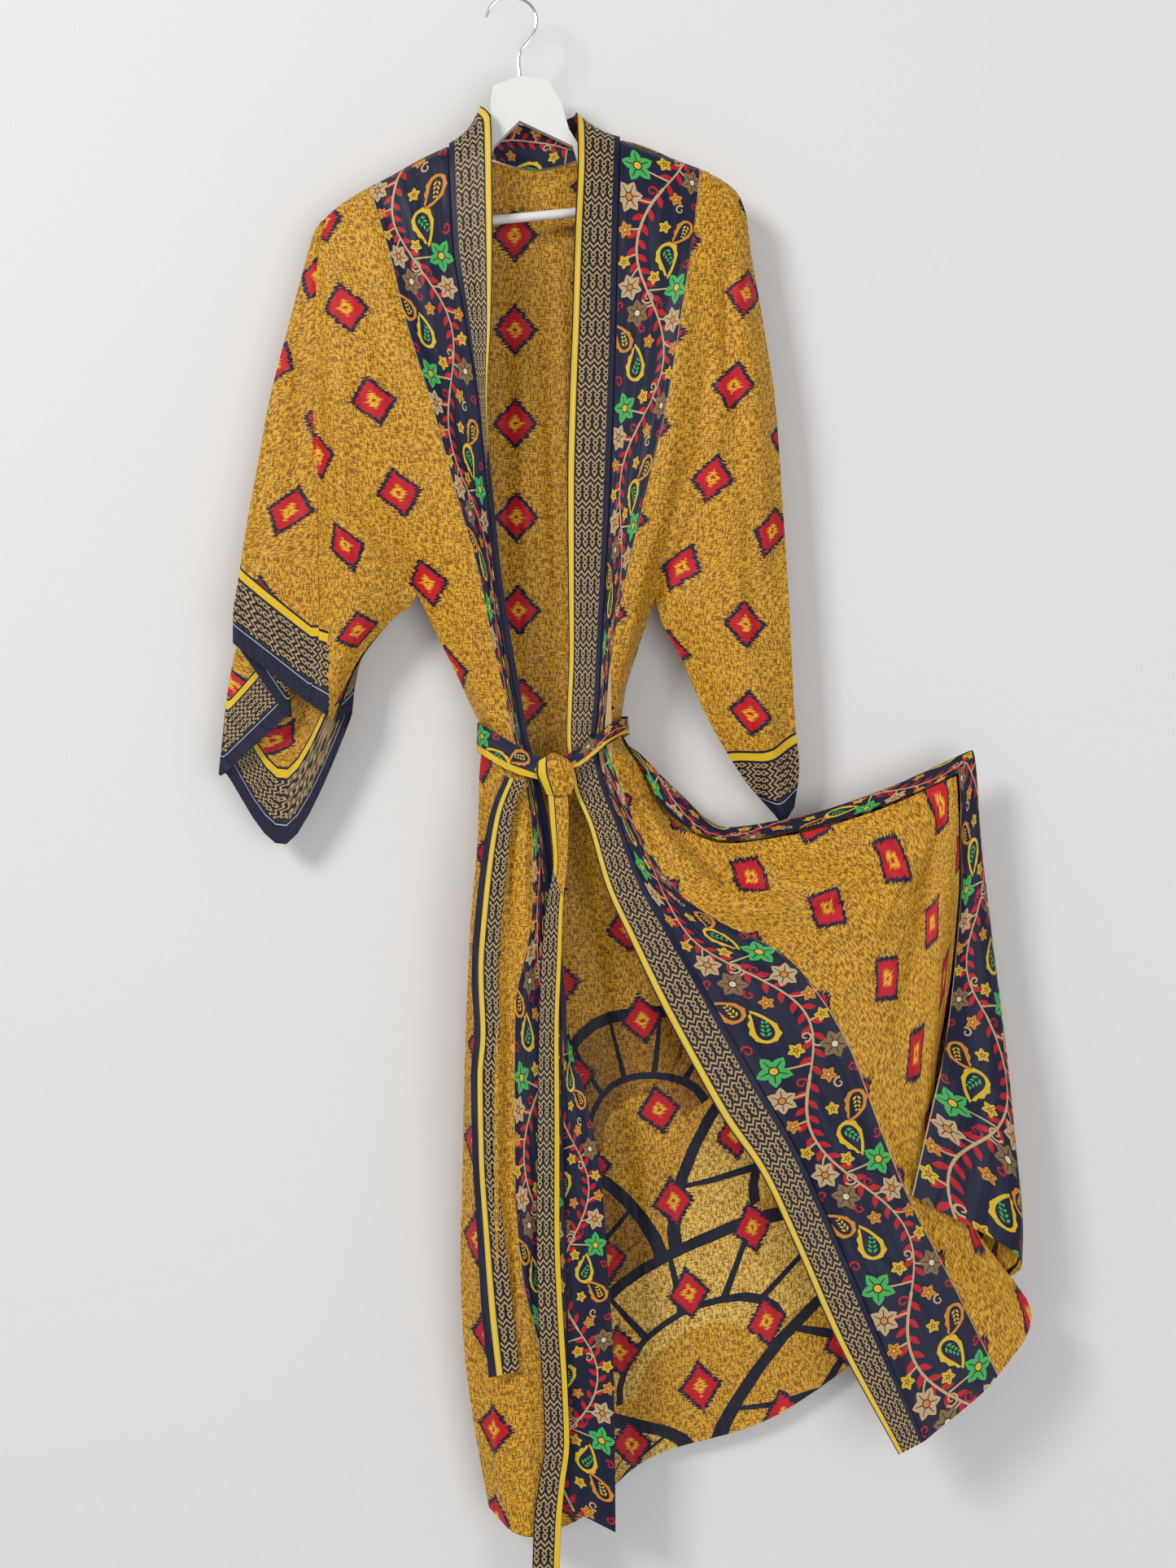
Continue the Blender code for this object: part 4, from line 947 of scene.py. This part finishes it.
def make_plain(name, colour, rough, metallic=0.0, grain=0.0):
    """Paint or metal of one colour, darkened by up to a share of grain in soft spots."""
    material, tree, shader = new_material(name, rough, 0.0)
    shader.inputs["Metallic"].default_value = metallic
    coords, spots = tree.nodes.new("ShaderNodeTexCoord"), tree.nodes.new("ShaderNodeTexNoise")
    spots.inputs["Scale"].default_value = 90.0
    tree.links.new(coords.outputs["Object"], spots.inputs["Vector"])
    dark = tuple(c * (1 - grain) for c in colour)
    plug(tree, shader.inputs["Base Color"], mix(tree, Value(tree, spots.outputs["Fac"]), colour, dark))
    return material


def make_wall():
    """Pale wall paint on the side that faces the room, nothing on the other."""
    material = make_plain("wall_paint", (0.76, 0.75, 0.735), 0.9, 0.0, 0.01)
    tree = material.node_tree
    facing, clear = tree.nodes.new("ShaderNodeNewGeometry"), tree.nodes.new("ShaderNodeBsdfTransparent")
    pick = tree.nodes.new("ShaderNodeMixShader")
    tree.links.new(facing.outputs["Backfacing"], pick.inputs[0])
    tree.links.new(tree.nodes["Principled BSDF"].outputs[0], pick.inputs[1])
    tree.links.new(clear.outputs[0], pick.inputs[2])
    tree.links.new(pick.outputs[0], tree.nodes["Material Output"].inputs["Surface"])
    return material


ground = make_cloth("printed_ground", ground_print, 0.55)
motif_cloth = make_cloth("printed_motifs", motif_print)
band_cloth = make_cloth("band_cloth_print", strip_print(
    (0.0090, 0.0405), [(0.0014, 0.0074, YELLOW), (0.0044, 0.0050, PALE)]))
belt_cloth = make_cloth("belt_cloth_print", strip_print(
    (0.010, 0.026), [(0.0265, 0.0325, YELLOW), (0.003, 0.005, RED)]))
tail_left_cloth = make_cloth("tail_left_print", strip_print(
    (0.0165, 0.034), [(0.0085, 0.0148, YELLOW), (0.0110, 0.0116, PALE)]))
tail_right_cloth = make_cloth("tail_right_print", strip_print(
    (0.001, 0.022), [(0.0235, 0.0295, YELLOW)], 0.085))
knot_cloth = make_cloth("printed_knot", belt_end_print, 0.55)


def flat_of(grid, start, border_cols=0, border=0.0):
    """Flat (across, down) of a grid: length along each row from start, with the border's
    columns spread evenly over its width, and length down each column from the top edge."""
    u = run(grid, 1)
    u = u - u[:, start:start + 1]
    if border_cols:
        u[:, :border_cols + 1] = np.linspace(0, border, border_cols + 1)
        u[:, border_cols + 1:] = (run(grid[:, border_cols:], 1) + border)[:, 1:]
    drop_top = grid[0, :, 2].max() - grid[0, :, 2]
    return np.stack([u, run(grid, 0) + drop_top[None, :]], -1)


def sleeve_flat(grid, body_uv, side):
    """Flat of a sleeve grid, side being 1 where it goes on from the body's last column and -1
    from its first: it carries on the body's lengths, and below the armpit it is measured
    back from its outer edge."""
    join, outer = (0, -1) if side > 0 else (-1, 0)
    steps = run(grid, 1)
    away = np.abs(steps - steps[:, join][:, None])
    body = body_uv[:, outer]
    u = body[:len(grid), 0][:, None] + side * away
    u[PARTED:] = u[PARTED, outer] - side * (away[PARTED:, outer][:, None] - away[PARTED:])
    v = run(grid, 0) + body[0, 1] - (grid[0, :, 2] - grid[0, join, 2])[None, :]
    return np.stack([u, v], -1)


def tuck(sheet, edge, across_steps, depth):
    """Seam allowance: a narrow strip from an edge, in under the piece that lies over it."""
    grid = np.stack([edge, edge + np.array([across_steps * UNIT, depth * MM, 0.0])], 1)
    if across_steps < 0:
        grid = grid[:, ::-1]
    uv = np.stack([np.zeros(grid.shape[:2]), run(grid, 0)], -1)
    sheet.grid(grid, uv, np.ones(grid.shape[:2]), mat=MOTIF_SLOT, colour=NAVY)


def cuff_distance(grid):
    """Length from each point down its column to the sleeve's hem."""
    down = run(grid, 0)
    return down[-1:] - down


def tiles(length, mirror=False, offset=0.0):
    """Border repeats one under the other, enough to cover a length."""
    return sum((border_tile(k * TILE + offset, mirror) for k in range(-1, int(length / TILE) + 2)), [])


def make_front(name, body_table, sleeve_table, creases, diamond, tuck_steps, motifs, cuff_to=math.inf):
    """A front: body and half sleeve share their points down to the armpit. The border is
    inlaid along the band's seam, and the cuff's print ends across the cloth at cuff_to, where
    the sleeve turns under."""
    body, sleeve = surface(body_table), surface(sleeve_table)
    sleeve[:PARTED + 1, 0] = body[:PARTED + 1, -1]
    body, sleeve = crease(body, creases), crease(sleeve, creases)
    uv = flat_of(body, 0, COLS, BORDER_WIDTH)
    sheet = Sheet(name, body, uv, diamond)
    keep = np.ones((body.shape[0] - 1, body.shape[1] - 1), bool)
    keep[:, :COLS] = False
    far = np.ones(body.shape[:2])
    sheet.grid(body, uv, far, keep)
    sheet.inlay(body, uv, far, (0, len(body) - 1, 0, COLS), BORDER_WIDTH, motifs, NAVY, MOTIF_SLOT)
    tuck(sheet, body[:, 0], tuck_steps, 2.5)
    cuff = cuff_distance(sleeve)
    cuff[sleeve[..., 0] > place((cuff_to, 0, 0))[0]] = 1.0
    sheet.grid(sleeve, sleeve_flat(sleeve, uv, 1), cuff)
    return sheet.build([ground, motif_cloth])


def make_back():
    """The back: its body, both sleeve backs, the navy strip at the held-out side and the fans."""
    body, left, right = surface(BACK), surface(BACK_SLEEVE_LEFT, cols=6), surface(BACK_SLEEVE_RIGHT)
    left = np.concatenate([left[:, :1] + np.array([9 * UNIT, 2 * MM, 0.0]), left], 1)
    left[:PARTED + 1, -1] = body[:PARTED + 1, 0]
    right[:PARTED + 1, 0] = body[:PARTED + 1, -1]
    body, left, right = (crease(g, BACK_CREASES) for g in (body, left, right))
    uv = flat_of(body, 3 * COLS)
    sheet = Sheet("back_cloth", body, uv, (634, 637))
    far = np.ones(body.shape[:2])
    keep = np.ones((body.shape[0] - 1, body.shape[1] - 1), bool)
    last = body.shape[0] - 1
    strip = (10 * ROWS, last, 6 * COLS, 7 * COLS)
    low = (14 * ROWS, last, 2 * COLS, 6 * COLS)
    for r1, r2, c1, c2 in (strip, low):
        keep[r1:r2, c1:c2] = False
    sheet.grid(body, uv, far, keep)
    sheet.inlay(body, uv, far, strip, BORDER_WIDTH, tiles(2.0, True, 0.10), NAVY, MOTIF_SLOT)
    wide = float(uv[low[0], low[3], 0] - uv[low[0], low[2], 0])
    lines = uv[low[0]:low[1] + 1, (low[3] - low[2]) // 2 + low[2], 1]
    print_low = fans(wide, float(lines[0]), float(lines[-1]))
    sheet.inlay(body, uv, far, low, wide, print_low, OCHRE, PRINT_SLOT)
    sheet.grid(left, sleeve_flat(left, uv, -1), cuff_distance(left))
    sheet.grid(right, sleeve_flat(right, uv, 1), cuff_distance(right))
    return sheet.build([ground, motif_cloth])


def make_strip(name, table, wide, material, inlaid=(), rows=8, cols=6, flip=False, edge=None, creases=()):
    """Band or belt strip: across from the free or left edge, down along its middle. Between
    the table rows of inlaid it has the border's motifs at BAND_PRINT of their size, with a
    yellow line between the two distances of edge."""
    grid = crease(surface(table, rows, cols), creases)
    if flip:
        grid = grid[:, ::-1]
    count = grid.shape[1]
    u = np.broadcast_to(np.linspace(0, wide, count), grid.shape[:2])
    v = np.repeat(run(grid, 0)[:, count // 2][:, None], count, axis=1)
    uv = np.stack([u, v], -1)
    far = np.ones(grid.shape[:2])
    sheet = Sheet(name)
    keep = np.ones((grid.shape[0] - 1, count - 1), bool)
    for r1, r2 in inlaid:
        keep[r1 * rows:r2 * rows] = False
        motifs = [(p * BAND_PRINT, c) for p, c in tiles(float(v.max()) / BAND_PRINT)]
        if edge:
            low, high = edge
            motifs.append((np.array([(low, -1), (high, -1), (high, 9), (low, 9)]), YELLOW))
        sheet.inlay(grid, uv, far, (r1 * rows, r2 * rows, 0, count - 1), wide, motifs, NAVY, MOTIF_SLOT)
    sheet.grid(grid, uv, far, keep)
    return sheet.build([material, motif_cloth])


front_right = make_front("front_right_cloth", RIGHT_FRONT, RIGHT_FRONT_SLEEVE, RIGHT_FRONT_CREASES,
                         (462, 495), 9, tiles(1.8, False, 0.02), 408)
front_left = make_front("front_left_cloth", LEFT_FRONT, LEFT_FRONT_SLEEVE, LEFT_FRONT_CREASES,
                        (1083, 1200), -9, tiles(1.8, True, 0.06))
back = make_back()
neck_band = make_strip("neck_band_cloth", NECK_BAND, 0.047, band_cloth, [(0, 6), (20, 24)], flip=True)
belt_wrap = make_strip("belt_wrap_cloth", BELT_ENDS[:1] + BELT_WRAP + BELT_ENDS[1:], 0.034, belt_cloth,
                       [(0, 16)], edge=(0.026, 0.0335))
tail_left = make_strip("belt_tail_left_cloth", TAIL_LEFT, 0.034, tail_left_cloth)
tail_right = make_strip("belt_tail_right_cloth", TAIL_RIGHT, 0.030, tail_right_cloth)
belt_knot = make_strip("belt_knot_cloth", KNOT_LOOP, 0.034, knot_cloth, rows=10, cols=10,
                       creases=KNOT_CREASES)

BAND_NODES = ["neck_band", "neck_band_right", "neck_band_left"]
# Piece, the nodes that it replaces, slot, flat size, cloth area where not the whole flat, carrier.
PIECES = [
    (front_right, ["front_right"], "printed_cloth_right", (0.29, 1.50), 0.20, "hanger_body"),
    (front_left, ["front_left"], "printed_cloth_left", (0.37, 1.53), 0.27, "hanger_body"),
    (back, ["back"], "printed_cloth_back", (1.07, 1.60), 0.85, "hanger_body"),
    (neck_band, BAND_NODES, "band_cloth", (0.047, 3.10), None, "front_right_cloth"),
    (belt_wrap, ["belt_wrap"], "belt_cloth", (0.034, 0.38), None, "front_right_cloth"),
    (tail_left, ["belt_tail_left"], "tail_left_cloth", (0.034, 0.62), None, "belt_knot_cloth"),
    (tail_right, ["belt_tail_right"], "tail_right_cloth", (0.030, 0.86), None, "belt_knot_cloth"),
    (belt_knot, ["belt_knot"], "knot_cloth", (0.034, 0.054), None, "belt_wrap_cloth"),
]
for piece, nodes, slot_name, flat, area, carrier in PIECES:
    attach(piece, "root")
    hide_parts(*nodes)

white = make_plain("white_paint_satin", (0.80, 0.785, 0.75), 0.35, 0.0, 0.03)
chrome = make_plain("hook_chrome_bright", (0.72, 0.73, 0.75), 0.16, 1.0, 0.08)
for node, material in (("hanger_body", white), ("hanger_bar", white), ("hanger_hook", chrome)):
    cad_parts[node].material_slots[0].material = material

# Stage: a pale wall behind, soft light from the upper left and front.
bpy.ops.mesh.primitive_plane_add(size=8.0, location=(0.08, 0.052, -0.85), rotation=(math.pi / 2, 0, 0))
wall = bpy.context.object
wall.name = "backdrop"
wall.data.materials.append(make_wall())


def add_light(name, location, aim, size, power, colour):
    """A square lamp at a place, turned to look at a point."""
    light = bpy.data.lights.new(name, "AREA")
    light.size, light.energy, light.color = size, power, colour
    lamp = bpy.data.objects.new(name, light)
    lamp.location = location
    lamp.rotation_euler = (Vector(aim) - Vector(location)).to_track_quat("-Z", "Y").to_euler()
    bpy.context.scene.collection.objects.link(lamp)


CENTRE = (0.08, 0.0, -0.83)
add_light("key", (-2.6, -3.2, 1.3), CENTRE, 1.3, 110, (1.0, 0.985, 0.965))
add_light("fill", (1.4, -4.0, -1.2), CENTRE, 2.6, 62, (0.98, 0.985, 1.0))
world = bpy.data.worlds.new("soft_room")
world.use_nodes = True
sky = world.node_tree.nodes["Background"]
sky.inputs["Color"].default_value = (0.9, 0.92, 0.95, 1.0)
sky.inputs["Strength"].default_value = 0.44
bpy.context.scene.world = world

# Camera: square on, with the whole frame of FRAME_TALL steps in its height.
FRAME_WIDE, FRAME_TALL = 1445, 1927
CAMERA_DISTANCE = 2.5
SENSOR = 36.0
camera_data = bpy.data.cameras.new("photo_view")
camera = bpy.data.objects.new("photo_view", camera_data)
bpy.context.scene.collection.objects.link(camera)
camera_data.sensor_fit = "VERTICAL"
camera_data.sensor_height = SENSOR
camera_data.lens = SENSOR * CAMERA_DISTANCE / (FRAME_TALL * UNIT)
camera.location = place((FRAME_WIDE / 2, FRAME_TALL / 2, -CAMERA_DISTANCE / MM))
camera.rotation_euler = (math.pi / 2, 0, 0)
bpy.context.scene.camera = camera
bpy.context.scene.view_settings.view_transform = "Standard"
